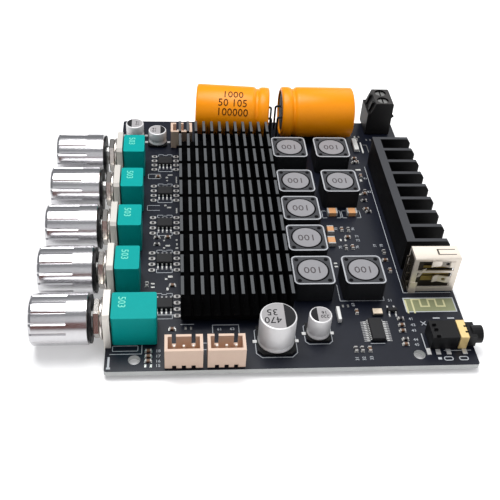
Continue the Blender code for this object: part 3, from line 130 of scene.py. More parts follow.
class Surface:
    """Shader node groups that several finishes share, and the materials made so far."""

    groups: dict[str, bpy.types.NodeTree] = {}
    finishes: dict[str, bpy.types.Material] = {}

    @classmethod
    def group(cls, name: str, inputs: dict[str, str], outputs: Sequence[str]
              ) -> tuple[bpy.types.NodeTree, bpy.types.Node, bpy.types.Node]:
        """Start a node group.

        Args:
            name: The group's name.
            inputs: Whether each input, by name, is a Float or a Vector.
            outputs: The names of its outputs, all of them values.

        Returns:
            The group, its input node and its output node.
        """
        group = bpy.data.node_groups.new(name, "ShaderNodeTree")
        for socket, kind in inputs.items():
            group.interface.new_socket(socket, in_out="INPUT", socket_type=f"NodeSocket{kind}")
        for socket in outputs:
            group.interface.new_socket(socket, in_out="OUTPUT", socket_type="NodeSocketFloat")
        cls.groups[name] = group
        return group, group.nodes.new("NodeGroupInput"), group.nodes.new("NodeGroupOutput")

    @staticmethod
    def sum_node(group: bpy.types.NodeTree, operation: str, value: float | None = None
                 ) -> bpy.types.Node:
        """Add a Math node.

        Args:
            group: The node group.
            operation: What it works out.
            value: Its second value, or None where that is linked.

        Returns:
            The node.
        """
        node = group.nodes.new("ShaderNodeMath")
        node.operation = operation
        if value is not None:
            node.inputs[1].default_value = value
        return node

    @classmethod
    def grain(cls) -> bpy.types.NodeTree:
        """Return the group that mixes a fine and a coarse noise over a piece.

        Returns:
            A node group with a Scale input, and Tone and Height outputs.
        """
        if "surface_grain" in cls.groups:
            return cls.groups["surface_grain"]
        group, entry, leave = cls.group("surface_grain", {"Scale": "Float"}, ("Tone", "Height"))
        link = group.links.new
        where = group.nodes.new("ShaderNodeTexCoord")
        coarse, fine = (group.nodes.new("ShaderNodeTexNoise") for _ in range(2))
        coarse.inputs["Detail"].default_value, fine.inputs["Detail"].default_value = 4.0, 2.0
        finer = cls.sum_node(group, "MULTIPLY", 6.0)
        both = cls.sum_node(group, "ADD")
        half = cls.sum_node(group, "MULTIPLY", 0.5)
        link(entry.outputs["Scale"], coarse.inputs["Scale"])
        link(entry.outputs["Scale"], finer.inputs[0])
        link(finer.outputs[0], fine.inputs["Scale"])
        for index, noise in enumerate((coarse, fine)):
            link(where.outputs["Object"], noise.inputs["Vector"])
            link(noise.outputs["Fac"], both.inputs[index])
        link(both.outputs[0], half.inputs[0])
        link(half.outputs[0], leave.inputs["Tone"])
        link(fine.outputs["Fac"], leave.inputs["Height"])
        return group

    @classmethod
    def slab(cls) -> bpy.types.NodeTree:
        """Return the group that marks what lies above a level along one axis.

        Returns:
            A node group with Direction, Level and Blur inputs and a Mask output, which is one
            where a point's distance along Direction, in metres, passes Level.
        """
        if "above_level" in cls.groups:
            return cls.groups["above_level"]
        group, entry, leave = cls.group(
            "above_level", {"Direction": "Vector", "Level": "Float", "Blur": "Float"}, ("Mask",))
        link = group.links.new
        where = group.nodes.new("ShaderNodeTexCoord")
        along = group.nodes.new("ShaderNodeVectorMath")
        along.operation = "DOT_PRODUCT"
        past = cls.sum_node(group, "SUBTRACT")
        sharp = cls.sum_node(group, "DIVIDE")
        sharp.use_clamp = True
        link(where.outputs["Object"], along.inputs[0])
        link(entry.outputs["Direction"], along.inputs[1])
        link(along.outputs["Value"], past.inputs[0])
        link(entry.outputs["Level"], past.inputs[1])
        link(past.outputs[0], sharp.inputs[0])
        link(entry.outputs["Blur"], sharp.inputs[1])
        link(sharp.outputs[0], leave.inputs["Mask"])
        return group


@dataclass(frozen=True)
class Region:
    """A painted highlight: what lies past a level along a direction, painted in a paler colour."""

    direction: Triple
    level: Vector
    colour: Triple
    roughness: float
    blur: float = 0.00003

    def mask(self, nodes: bpy.types.Nodes) -> bpy.types.NodeSocket:
        """Add the region's mask to a material.

        Args:
            nodes: The material's nodes.

        Returns:
            The socket that is one inside the region.
        """
        mask = nodes.new("ShaderNodeGroup")
        mask.node_tree = Surface.slab()
        mask.inputs["Direction"].default_value = self.direction
        mask.inputs["Level"].default_value = Vector(self.direction).dot(self.level)
        mask.inputs["Blur"].default_value = self.blur
        return mask.outputs["Mask"]


class ColourMix:
    """A Mix node between two colours, with its factor and colour sockets named."""

    def __init__(self, nodes: bpy.types.Nodes, first: Triple, second: Triple) -> None:
        """Add the node.

        Args:
            nodes: The material's nodes.
            first: The colour at factor nought, in linear light.
            second: The colour at factor one.
        """
        node = nodes.new("ShaderNodeMix")
        node.data_type = "RGBA"
        self.factor = node.inputs[0]
        self.first, self.second = (socket for socket in node.inputs if socket.type == "RGBA")
        self.result = next(socket for socket in node.outputs if socket.type == "RGBA")
        self.first.default_value = (*first, 1.0)
        self.second.default_value = (*second, 1.0)


@dataclass(frozen=True)
class Finish:
    """One finish: its colours, gloss and fine grain.

    The grain blends colour towards shade, moves the roughness by spread and raises a bump.
    """

    name: str
    colour: Triple
    shade: Triple
    roughness: float
    metallic: float = 0.0
    spread: float = 0.08
    scale: float = 900.0
    bump: float = 0.15
    specular: float = 0.5
    depth: float = 0.00002
    glow: float = 0.0
    regions: tuple[Region, ...] = ()

    def build(self) -> bpy.types.Material:
        """Make the finish's node material, or find the one made before.

        Returns:
            The material.
        """
        if self.name in Surface.finishes:
            return Surface.finishes[self.name]
        material = bpy.data.materials.new(f"{self.name}_finish")
        Surface.finishes[self.name] = material
        material.use_nodes = True
        nodes, links = material.node_tree.nodes, material.node_tree.links
        shader = nodes["Principled BSDF"]
        for socket, value in (("Metallic", self.metallic),
                              ("Specular IOR Level", self.specular),
                              ("Emission Color", (1.0, 1.0, 1.0, 1.0)),
                              ("Emission Strength", self.glow)):
            shader.inputs[socket].default_value = value
        grain = nodes.new("ShaderNodeGroup")
        grain.node_tree = Surface.grain()
        grain.inputs["Scale"].default_value = self.scale
        mix = ColourMix(nodes, self.colour, self.shade)
        links.new(grain.outputs["Tone"], mix.factor)
        rough = nodes.new("ShaderNodeMapRange")
        rough.inputs["To Min"].default_value = max(self.roughness - self.spread, 0.02)
        rough.inputs["To Max"].default_value = min(self.roughness + self.spread, 1.0)
        links.new(grain.outputs["Tone"], rough.inputs["Value"])
        colour, gloss = mix.result, rough.outputs["Result"]
        # Each region paints what lies past its level, the lit top of a piece, in a paler colour:
        # painted highlight.
        for region in self.regions:
            mask = region.mask(nodes)
            over = ColourMix(nodes, self.colour, region.colour)
            links.new(mask, over.factor)
            links.new(colour, over.first)
            blend = nodes.new("ShaderNodeMapRange")
            blend.inputs["To Max"].default_value = region.roughness
            links.new(mask, blend.inputs["Value"])
            links.new(gloss, blend.inputs["To Min"])
            colour, gloss = over.result, blend.outputs["Result"]
        links.new(colour, shader.inputs["Base Color"])
        links.new(gloss, shader.inputs["Roughness"])
        bump = nodes.new("ShaderNodeBump")
        bump.inputs["Strength"].default_value = self.bump
        bump.inputs["Distance"].default_value = self.depth
        links.new(grain.outputs["Height"], bump.inputs["Height"])
        links.new(bump.outputs["Normal"], shader.inputs["Normal"])
        return material


class Bench:
    """Hand-like modelling steps, each of which leaves one mesh object placed in its mesh."""

    sharp: float = math.radians(40.0)

    @staticmethod
    def start() -> None:
        """Leave nothing selected, so that the next step works on its own piece only."""
        if bpy.context.object and bpy.context.object.mode != "OBJECT":
            bpy.ops.object.mode_set(mode="OBJECT")
        bpy.ops.object.select_all(action="DESELECT")

    @classmethod
    def settle(cls, name: str) -> bpy.types.Object:
        """Name the active object and move its place, turn and scale into its mesh.

        Args:
            name: The piece's name.

        Returns:
            The object, at the origin.
        """
        piece = bpy.context.object
        piece.name = piece.data.name = name
        bpy.ops.object.transform_apply(location=True, rotation=True, scale=True)
        return piece

    @classmethod
    def box(cls, name: str, low: Sequence[float], high: Sequence[float], bevel: float = 0.0,
            segments: int = 2) -> bpy.types.Object:
        """Make a block between two corners.

        Args:
            name: The piece's name.
            low: Lowest corner, in board millimetres.
            high: Highest corner, in board millimetres.
            bevel: Width of the bevel on every edge, in millimetres.
            segments: Steps across each bevel.

        Returns:
            The block.
        """
        cls.start()
        first, last = place(*low), place(*high)
        bpy.ops.mesh.primitive_cube_add(size=1.0, location=(first + last) / 2.0,
                                        scale=last - first)
        piece = cls.settle(name)
        if bevel > 0.0:
            cls.round_edges(piece, bevel, segments)
        return piece

    @classmethod
    def round_edges(cls, piece: bpy.types.Object, width: float, segments: int,
                    which: Callable[[bmesh.types.BMEdge], bool] | None = None) -> None:
        """Bevel a piece's sharp edges.

        Args:
            piece: The piece.
            width: Bevel width in millimetres.
            segments: Steps across the bevel.
            which: Picks the edges; without it, those that turn more than 40 degrees.
        """
        cls.pick(piece, "EDGE", which or (lambda edge: edge.calc_face_angle(0.0) > cls.sharp))
        bpy.ops.mesh.bevel(offset=width * MM, segments=segments, affect="EDGES")
        bpy.ops.object.mode_set(mode="OBJECT")

    @staticmethod
    def upright(edge: bmesh.types.BMEdge) -> bool:
        """Say whether an edge stands upright."""
        return abs((edge.verts[0].co - edge.verts[1].co).z) > MM / 10.0

    @staticmethod
    def pick(piece: bpy.types.Object, kind: str,
             which: Callable[[bmesh.types.BMEdge | bmesh.types.BMFace], bool]) -> None:
        """Enter edit mode with only the wanted edges or faces selected.

        Args:
            piece: The piece.
            kind: EDGE or FACE.
            which: Picks them.
        """
        bpy.context.view_layer.objects.active = piece
        piece.select_set(True)
        bpy.ops.object.mode_set(mode="EDIT")
        bpy.ops.mesh.select_mode(type=kind)
        bpy.ops.mesh.select_all(action="DESELECT")
        mesh = bmesh.from_edit_mesh(piece.data)
        for element in mesh.edges if kind == "EDGE" else mesh.faces:
            element.select = which(element)
        mesh.select_flush_mode()
        bmesh.update_edit_mesh(piece.data)

    @classmethod
    def paint(cls, piece: bpy.types.Object, finish: bpy.types.Material,
              which: Callable[[bmesh.types.BMFace], bool]) -> None:
        """Give some of a piece's faces a second finish.

        Args:
            piece: The piece.
            finish: The finish, added as a new slot.
            which: Picks the faces.
        """
        cls.start()
        cls.pick(piece, "FACE", which)
        piece.data.materials.append(finish)
        piece.active_material_index = len(piece.data.materials) - 1
        bpy.ops.object.material_slot_assign()
        bpy.ops.object.mode_set(mode="OBJECT")

    @classmethod
    def rod(cls, name: str, centre: Sequence[float], radius: float, length: float,
            axis: Axis = Axis.UP, sides: int = 32, yaw: float = 0.0) -> bpy.types.Object:
        """Make a round or many-sided rod.

        Args:
            name: The piece's name.
            centre: Its middle, in board millimetres.
            radius: Its radius in millimetres.
            length: Its length in millimetres.
            axis: The way that its length runs.
            sides: How many sides it has.
            yaw: A turn about Z, in radians, after the axis is set.

        Returns:
            The rod.
        """
        cls.start()
        turn = Matrix.Rotation(yaw, 4, "Z") @ axis.value
        bpy.ops.mesh.primitive_cylinder_add(vertices=sides, radius=radius * MM,
                                            depth=length * MM, location=place(*centre),
                                            rotation=turn.to_euler())
        return cls.settle(name)

    @classmethod
    def turned(cls, name: str, start: Sequence[float], profile: Sequence[Pair],
               axis: Axis = Axis.UP, sides: int = 48, yaw: float = 0.0,
               grooves: tuple[int, float] | None = None) -> bpy.types.Object:
        """Make a lathe-turned piece, closed at both ends, by extruding and scaling a disc.

        Args:
            name: The piece's name.
            start: Where the first station's centre is, in board millimetres.
            profile: Distance along the axis and radius of each station, in millimetres.
            axis: The way that the stations run.
            sides: How many sides it has.
            yaw: A turn about Z, in radians, after the axis is set.
            grooves: Every how many sides a groove runs along the piece, and its depth in
                millimetres.

        Returns:
            The turned piece.
        """
        cls.start()
        bpy.ops.mesh.primitive_circle_add(vertices=sides, radius=profile[0][1] * MM,
                                          fill_type="NGON", location=(0.0, 0.0, 0.0))
        bpy.ops.object.mode_set(mode="EDIT")
        if grooves is not None:
            cls.press_grooves(grooves[0], 1.0 - grooves[1] / profile[0][1])
        bpy.ops.mesh.select_all(action="SELECT")
        along, radius = profile[0]
        for next_along, next_radius in profile[1:]:
            step = (next_along - along) * MM
            bpy.ops.mesh.extrude_region_move(TRANSFORM_OT_translate={"value": (0.0, 0.0, step)})
            growth = next_radius / radius
            bpy.ops.transform.resize(value=(growth, growth, 1.0),
                                     center_override=(0.0, 0.0, (next_along - profile[0][0]) * MM))
            along, radius = next_along, next_radius
        bpy.ops.mesh.select_all(action="SELECT")
        bpy.ops.mesh.normals_make_consistent(inside=False)
        bpy.ops.object.mode_set(mode="OBJECT")
        turn = Matrix.Rotation(yaw, 4, "Z") @ axis.value
        piece = bpy.context.object
        piece.matrix_world = Matrix.Translation(place(*start)) @ turn @ Matrix.Translation(
            (0.0, 0.0, profile[0][0] * MM))
        return cls.settle(name)

    @staticmethod
    def press_grooves(every: int, share: float) -> None:
        """Pull some corners of the disc in edit mode towards its middle.

        Args:
            every: Every how many corners one is pulled in.
            share: What is left of its distance from the middle.
        """
        bpy.ops.mesh.select_mode(type="VERT")
        bpy.ops.mesh.select_all(action="DESELECT")
        mesh = bmesh.from_edit_mesh(bpy.context.object.data)
        for index, corner in enumerate(mesh.verts):
            corner.select = index % every == 0
        bmesh.update_edit_mesh(bpy.context.object.data)
        bpy.ops.transform.resize(value=(share, share, 1.0), center_override=(0.0, 0.0, 0.0))
        bpy.ops.mesh.select_mode(type="FACE")

    @classmethod
    def ribbon(cls, name: str, path: Sequence[Sequence[float]], across: Sequence[float],
               thickness: float) -> bpy.types.Object:
        """Make a bent strip of sheet: an edge extruded along a path and then thickened.

        Args:
            name: The piece's name.
            path: Points along the strip's middle, in board millimetres.
            across: The strip's width as a vector, in millimetres.
            thickness: The sheet's thickness in millimetres.

        Returns:
            The strip.
        """
        cls.start()
        bpy.ops.mesh.primitive_plane_add(size=1.0, location=(0.0, 0.0, 0.0))
        bpy.ops.object.mode_set(mode="EDIT")
        bpy.ops.mesh.select_all(action="SELECT")
        mesh = bmesh.from_edit_mesh(bpy.context.object.data)
        half = Vector(across) * MM / 2.0
        ends = [place(*path[0]), place(*path[1])]
        corners = [ends[0] - half, ends[0] + half, ends[1] + half, ends[1] - half]
        for vert, corner in zip(list(mesh.faces)[0].verts, corners):
            vert.co = corner
        for edge in mesh.edges:
            edge.select = all((v.co - ends[1]).length < half.length * 1.01 for v in edge.verts)
        mesh.select_flush(False)
        bmesh.update_edit_mesh(bpy.context.object.data)
        for before, after in zip(path[1:], path[2:]):
            step = (Vector(after) - Vector(before)) * MM
            bpy.ops.mesh.extrude_edges_move(TRANSFORM_OT_translate={"value": step})
        bpy.ops.mesh.select_all(action="SELECT")
        bpy.ops.mesh.normals_make_consistent(inside=False)
        bpy.ops.object.mode_set(mode="OBJECT")
        piece = cls.settle(name)
        sheet = piece.modifiers.new("sheet", "SOLIDIFY")
        sheet.thickness, sheet.offset, sheet.use_even_offset = thickness * MM, 0.0, True
        bpy.ops.object.modifier_apply(modifier=sheet.name)
        return piece

    @staticmethod
    def copy(piece: bpy.types.Object, name: str, change: Matrix) -> bpy.types.Object:
        """Copy a piece to another place, with a mesh of its own.

        Args:
            piece: What is copied.
            name: The copy's name.
            change: How its mesh is moved and turned.

        Returns:
            The copy.
        """
        mesh = piece.data.copy()
        mesh.name = name
        mesh.transform(change)
        twin = bpy.data.objects.new(name, mesh)
        bpy.context.scene.collection.objects.link(twin)
        return twin

    @classmethod
    def row(cls, piece: bpy.types.Object, step: Sequence[float], count: int
            ) -> list[bpy.types.Object]:
        """Copy a piece along a straight row.

        Args:
            piece: The first one.
            step: From each to the next, in millimetres.
            count: How many there are in all.

        Returns:
            The piece and its copies.
        """
        return [piece] + [cls.copy(piece, piece.name, Matrix.Translation(
            Vector(step) * MM * index)) for index in range(1, count)]

    @classmethod
    def join(cls, name: str, pieces: Sequence[bpy.types.Object]) -> bpy.types.Object:
        """Join pieces into one object.

        Args:
            name: The joined piece's name.
            pieces: What is joined; the first one stays.

        Returns:
            The joined piece.
        """
        cls.start()
        for piece in pieces:
            piece.select_set(True)
        bpy.context.view_layer.objects.active = pieces[0]
        if len(pieces) > 1:
            bpy.ops.object.join()
        return cls.settle(name)

    @classmethod
    def cut(cls, piece: bpy.types.Object, cutter: bpy.types.Object) -> bpy.types.Object:
        """Take a cutter's shape out of a piece and drop the cutter.

        Args:
            piece: What is cut.
            cutter: The closed shape that is taken out.

        Returns:
            The cut piece.
        """
        cls.start()
        bpy.context.view_layer.objects.active = piece
        piece.select_set(True)
        change = piece.modifiers.new("cut", "BOOLEAN")
        change.operation, change.object, change.use_self = "DIFFERENCE", cutter, True
        bpy.ops.object.modifier_apply(modifier=change.name)
        bpy.data.objects.remove(cutter)
        return piece

    @classmethod
    def smooth(cls, piece: bpy.types.Object, angle: float = 35.0) -> bpy.types.Object:
        """Shade a piece smooth.

        Args:
            piece: The piece.
            angle: Edges that turn more than this, in degrees, stay sharp.

        Returns:
            The piece.
        """
        cls.start()
        piece.select_set(True)
        bpy.context.view_layer.objects.active = piece
        bpy.ops.object.shade_smooth_by_angle(angle=math.radians(angle))
        return piece

    @classmethod
    def flat(cls, name: str, low: Pair, high: Pair, height: float) -> bpy.types.Object:
        """Make a thin block that lies on the board, between two corners in X and Y."""
        return cls.box(name, (*low, 0.0), (*high, height))

    @classmethod
    def stroke(cls, start: Pair, stop: Pair, width: float) -> bpy.types.Object:
        """Make a printed stroke along X or Y.

        Args:
            start: One end, in board millimetres.
            stop: The other end.
            width: The stroke's width in millimetres.

        Returns:
            The stroke.
        """
        half = width / 2.0
        low = (min(start[0], stop[0]) - half, min(start[1], stop[1]) - half)
        high = (max(start[0], stop[0]) + half, max(start[1], stop[1]) + half)
        return cls.flat("stroke", low, high, PRINT_HEIGHT)

    @classmethod
    def ring_mark(cls, name: str, low: Pair, high: Pair, corner: float, width: float,
                  height: float = PRINT_HEIGHT, steps: int = 5, level: float = 0.0
                  ) -> bpy.types.Object:
        """Make a flat printed outline with rounded corners, standing on the board.

        Args:
            name: The piece's name.
            low: Lowest X and Y, in board millimetres.
            high: Highest X and Y, in board millimetres.
            corner: Corner radius in millimetres.
            width: Line width in millimetres.
            height: How far it stands up, in millimetres.
            steps: Segments around each corner.
            level: The height that it stands on, in board millimetres.

        Returns:
            The outline.
        """
        cls.start()
        first, last = place(*low, level), place(*high, level)
        bpy.ops.mesh.primitive_plane_add(size=1.0, location=(first + last) / 2.0)
        plane = bpy.context.object
        plane.scale = (last.x - first.x, last.y - first.y, 1.0)
        cls.settle(name)
        bpy.ops.object.mode_set(mode="EDIT")
        bpy.ops.mesh.select_all(action="SELECT")
        bpy.ops.mesh.bevel(offset=corner * MM, segments=steps, affect="VERTICES")
        bpy.ops.mesh.select_all(action="SELECT")
        bpy.ops.mesh.inset(thickness=width * MM, depth=0.0)
        bpy.ops.mesh.delete(type="FACE")
        bpy.ops.mesh.select_all(action="SELECT")
        bpy.ops.mesh.extrude_region_move(
            TRANSFORM_OT_translate={"value": (0.0, 0.0, height * MM)})
        bpy.ops.mesh.select_all(action="SELECT")
        bpy.ops.mesh.normals_make_consistent(inside=False)
        bpy.ops.object.mode_set(mode="OBJECT")
        return plane

    @classmethod
    def digits(cls, name: str, text: str, centre: Sequence[float], height: float,
               turn: float = 0.0, thickness: float = 0.03) -> bpy.types.Object:
        """Make plain digits that lie flat on a level surface.

        Args:
            name: The piece's name.
            text: The digits.
            centre: The middle of the print, in board millimetres.
            height: The digits' height in millimetres.
            turn: Their turn about Z, in degrees.
            thickness: How far they stand up, in millimetres.

        Returns:
            The print, as a mesh.
        """
        cls.start()
        bpy.ops.object.text_add(location=place(*centre),
                                rotation=(0.0, 0.0, math.radians(turn)))
        print_ = bpy.context.object
        print_.data.body, print_.data.size = text, height * MM / 0.7
        print_.data.align_x, print_.data.align_y = "CENTER", "CENTER"
        print_.data.extrude = thickness * MM / 2.0
        print_.data.resolution_u = 2
        bpy.ops.object.convert(target="MESH")
        return cls.settle(name)


@dataclass(frozen=True)
class Delivery:
    """A finished piece with its finish, slot and body, and the CAD nodes it stands for."""

    piece: bpy.types.Object
    finish: Finish | None
    slot: str | None
    body: str
    stands_for: tuple[str, ...]


DELIVERED: list[Delivery] = []


def deliver(piece: bpy.types.Object, finish: Finish | None = None, slot: str | None = None,
            body: str = BOARD_BODY, stands_for: Sequence[str] = ()) -> None:
    """Give a piece its finish and body, name what it stands for, and put it on the list.

    Args:
        piece: The finished piece.
        finish: Its finish, or None where its faces already have theirs.
        slot: A material slot name, kept with the piece on the list.
        body: The CAD body that it moves with.
        stands_for: CAD nodes that it is shown instead of.
    """
    if finish is not None:
        piece.data.materials.clear()
        piece.data.materials.append(finish.build())
    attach(piece, body)
    if stands_for:
        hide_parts(*stands_for)
    DELIVERED.append(Delivery(piece, finish, slot, body, tuple(stands_for)))


def dress(nodes: Sequence[str], finish: Finish) -> None:
    """Give CAD nodes one finish.

    Args:
        nodes: The nodes' names.
        finish: Their finish.
    """
    for name in nodes:
        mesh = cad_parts[name].data
        mesh.materials.clear()
        mesh.materials.append(finish.build())


def to_linear(value: int) -> float:
    """Return a screen value, 0 to 255, as linear light."""
    share = value / 255.0
    return share / 12.92 if share <= 0.04045 else ((share + 0.055) / 1.055) ** 2.4


def rgb(red: int, green: int, blue: int) -> Triple:
    """Return a screen colour, 0 to 255 each, as linear light."""
    return to_linear(red), to_linear(green), to_linear(blue)


def top_of(node: str, depth: float = 0.12) -> Vector:
    """Return a point that many millimetres under a CAD node's top, in metres."""
    _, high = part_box(node)
    return Vector((0.0, 0.0, high[2] - depth * MM))


class Palette:
    """Every finish of the board."""

    mask = Finish("solder_mask", rgb(11, 15, 26), rgb(20, 24, 37), 0.36, scale=260.0, specular=0.28)
    laminate = Finish("laminate_edge", rgb(196, 198, 196), rgb(170, 173, 172), 0.6, scale=700.0)
    ink = Finish("print_ink", rgb(196, 200, 204), rgb(165, 170, 176), 0.6, scale=1500.0)
    tin = Finish("tinned_pad", rgb(214, 214, 210), rgb(180, 180, 176), 0.28, 0.8, scale=1400.0)
    antenna = Finish("antenna_bare", rgb(138, 142, 106), rgb(118, 122, 88), 0.5, scale=600.0)
    trace = Finish("antenna_trace", rgb(206, 202, 160), rgb(190, 186, 140), 0.45, scale=600.0)
    teal = Finish("teal_moulding", rgb(0, 158, 154), rgb(0, 147, 143), 0.45, scale=420.0,
                  specular=0.1)
    plate = Finish("front_plate", rgb(232, 228, 220), rgb(214, 208, 200), 0.32, 0.35, scale=500.0)
    chrome = Finish("knob_chrome", rgb(206, 205, 206), rgb(192, 191, 194), 0.23, 1.0,
                    spread=0.03, scale=300.0, bump=0.02)
    black = Finish("black_moulding", rgb(12, 12, 13), rgb(20, 20, 22), 0.42, scale=700.0,
                   specular=0.2)
    plated = Finish("plated_nut", rgb(222, 218, 212), rgb(196, 190, 184), 0.2, 1.0)
    shaft = Finish("turned_shaft", rgb(190, 190, 188), rgb(165, 165, 163), 0.3, 1.0)
    chip = Finish("chip_black", rgb(16, 16, 18), rgb(28, 28, 31), 0.55, scale=1500.0, bump=0.3,
                  specular=0.3)
    lead = Finish("tinned_lead", rgb(222, 222, 220), rgb(196, 196, 195), 0.35, 0.5, scale=1500.0)
    dull_tin = Finish("dull_tin", rgb(150, 150, 151), rgb(128, 128, 130), 0.45, 0.3, scale=1500.0)
    capacitor = Finish("chip_capacitor", rgb(110, 78, 52), rgb(92, 62, 40), 0.45, scale=1800.0)
    resistor = Finish("chip_resistor", rgb(28, 26, 28), rgb(42, 38, 40), 0.4, scale=1800.0)
    terminal = Finish("chip_end", rgb(192, 190, 188), rgb(164, 162, 160), 0.4, 0.3, scale=1800.0)
    tan = Finish("large_chip_capacitor", rgb(214, 158, 108), rgb(196, 140, 92), 0.5)
    white = Finish("white_moulding", rgb(226, 226, 224), rgb(208, 208, 206), 0.45)
    cream = Finish("cream_moulding", rgb(216, 190, 170), rgb(204, 176, 156), 0.45, scale=500.0)
    # Painted shade: the floor inside each header, painted a darker, warmer tan than the cream
    # housing.
    floor_shade = Finish("header_floor", rgb(232, 186, 146), rgb(216, 168, 128), 0.5, scale=500.0)
    # Painted highlight: the region paints the top of the ferrite body paler than its black sides.
    ferrite = Finish("ferrite", rgb(24, 25, 27), rgb(36, 37, 40), 0.7, scale=1100.0, bump=0.5,
                     specular=0.12, regions=(Region(UP, top_of("power_inductor_1", 0.2),
                                                    rgb(66, 67, 70), 0.7),))
    rim = Finish("inductor_rim", rgb(182, 184, 188), rgb(156, 158, 163), 0.5, scale=1100.0)
    coil_top = Finish("coil_centre", rgb(142, 141, 144), rgb(128, 127, 131), 0.5, scale=1100.0)
    orange = Finish("orange_sleeve", rgb(250, 154, 6), rgb(242, 142, 2), 0.34, scale=180.0,
                    specular=0.25)
    rubber = Finish("seal_rubber", rgb(20, 20, 21), rgb(32, 32, 33), 0.7, scale=800.0)
    aluminium = Finish("can_aluminium", rgb(230, 229, 229), rgb(214, 213, 214), 0.42, 0.25,
                       specular=0.4)
    can_mark = Finish("can_mark", rgb(30, 30, 32), rgb(42, 42, 44), 0.6, specular=0.1)
    coil_print = Finish("coil_print", rgb(74, 70, 72), rgb(88, 82, 84), 0.6, specular=0.1)
    # Painted shade: a darker, duller copy of the can's aluminium that covers the can's top.
    can_top = Finish("can_top", rgb(168, 165, 166), rgb(152, 150, 151), 0.6, specular=0.15)
    # Painted shade: near-black discs that stand for the shaded well round the centre and the corner
    # hollows of the inductors.
    well = Finish("inductor_well", rgb(12, 12, 14), rgb(20, 20, 22), 0.8, scale=1100.0,
                  specular=0.05)
    sleeve_print = Finish("sleeve_print", rgb(58, 30, 4), rgb(72, 38, 6), 0.5, specular=0.1)
    pale_print = Finish("pale_print", rgb(120, 222, 196), rgb(104, 208, 184), 0.5)
    dark_metal = Finish("shadowed_metal", rgb(46, 42, 36), rgb(60, 54, 44), 0.45, 0.3, specular=0.3)
    olive_metal = Finish("contact_metal", rgb(156, 136, 74), rgb(124, 106, 54), 0.35, 0.5)
    hollow = Finish("deep_shadow", rgb(4, 4, 5), rgb(7, 7, 8), 0.9, specular=0.02)
    brass = Finish("clamp_metal", rgb(196, 178, 140), rgb(176, 158, 122), 0.3, 1.0)
    screw = Finish("screw_zinc", rgb(140, 140, 138), rgb(116, 116, 114), 0.32, 1.0)
    socket = Finish("socket_plating", rgb(240, 232, 220), rgb(228, 216, 200), 0.3, 0.5,
                    spread=0.04, scale=400.0, bump=0.0)
    gold = Finish("gold_band", rgb(240, 212, 150), rgb(228, 198, 132), 0.3, 0.4, scale=700.0)
    lid = Finish("crystal_lid", rgb(240, 224, 202), rgb(230, 212, 188), 0.3, 0.5, scale=300.0,
                 bump=0.0)
    # Painted highlight: the region paints the fin tops of the main heatsink paler grey than its
    # black sides.
    sink = Finish("black_aluminium", rgb(6, 6, 7), rgb(12, 12, 13), 0.8, scale=700.0, specular=0.03,
                  regions=(Region(UP, top_of("main_heatsink"), rgb(86, 88, 90), 0.6),))
    # Painted highlight: the region paints the side heatsink's top paler grey than its black sides.
    side_sink = Finish("black_aluminium_side", rgb(8, 8, 9), rgb(16, 16, 17), 0.5, specular=0.12,
                       scale=700.0, regions=(Region(UP, top_of("side_heatsink"),
                                                    rgb(66, 67, 70), 0.6),))
    # Painted highlight: the region paints the terminal block's top paler than its black sides.
    block = Finish("black_terminal", rgb(14, 14, 15), rgb(24, 23, 23), 0.5, scale=600.0,
                   specular=0.2,
                   regions=(Region(UP, top_of("terminal_block"), rgb(56, 54, 53), 0.5),))
    floor = Finish("studio_floor", rgb(246, 246, 246), rgb(243, 243, 243), 0.7, scale=6.0,
                   bump=0.0, glow=0.25)
    pale_card = Finish("pale_card", rgb(236, 236, 238), rgb(232, 232, 234), 0.9, scale=20.0,
                       bump=0.0, glow=0.1)
    card = Finish("warm_card", rgb(120, 58, 44), rgb(98, 44, 34), 0.9, scale=20.0, bump=0.0)


class SubAssembly:
    """A group of pieces that is modelled by build and finished by dress."""

    def build(self) -> None:
        """Model the group's own pieces."""

    def dress(self) -> None:
        """Give the group's CAD nodes their finishes."""


@dataclass
class Repeated(SubAssembly):
    """A group that is modelled once, as number 1, and copied to the places of its likes."""

    first: SubAssembly
    steps: dict[int, Vector]

    def build(self) -> None:
        """Model the first group, then copy each of its pieces along every step."""
        before = len(DELIVERED)
        self.first.build()
        made = DELIVERED[before:]
        for number, step in self.steps.items():
            for item in made:
                name, body, *nodes = (text.replace("_1", f"_{number}") for text in (
                    item.piece.name, item.body, *item.stands_for))
                twin = Bench.copy(item.piece, name, Matrix.Translation(step * MM))
                deliver(twin, item.finish, item.slot, body, nodes)

    def dress(self) -> None:
        """Finish the CAD nodes of every one."""
        self.first.dress()


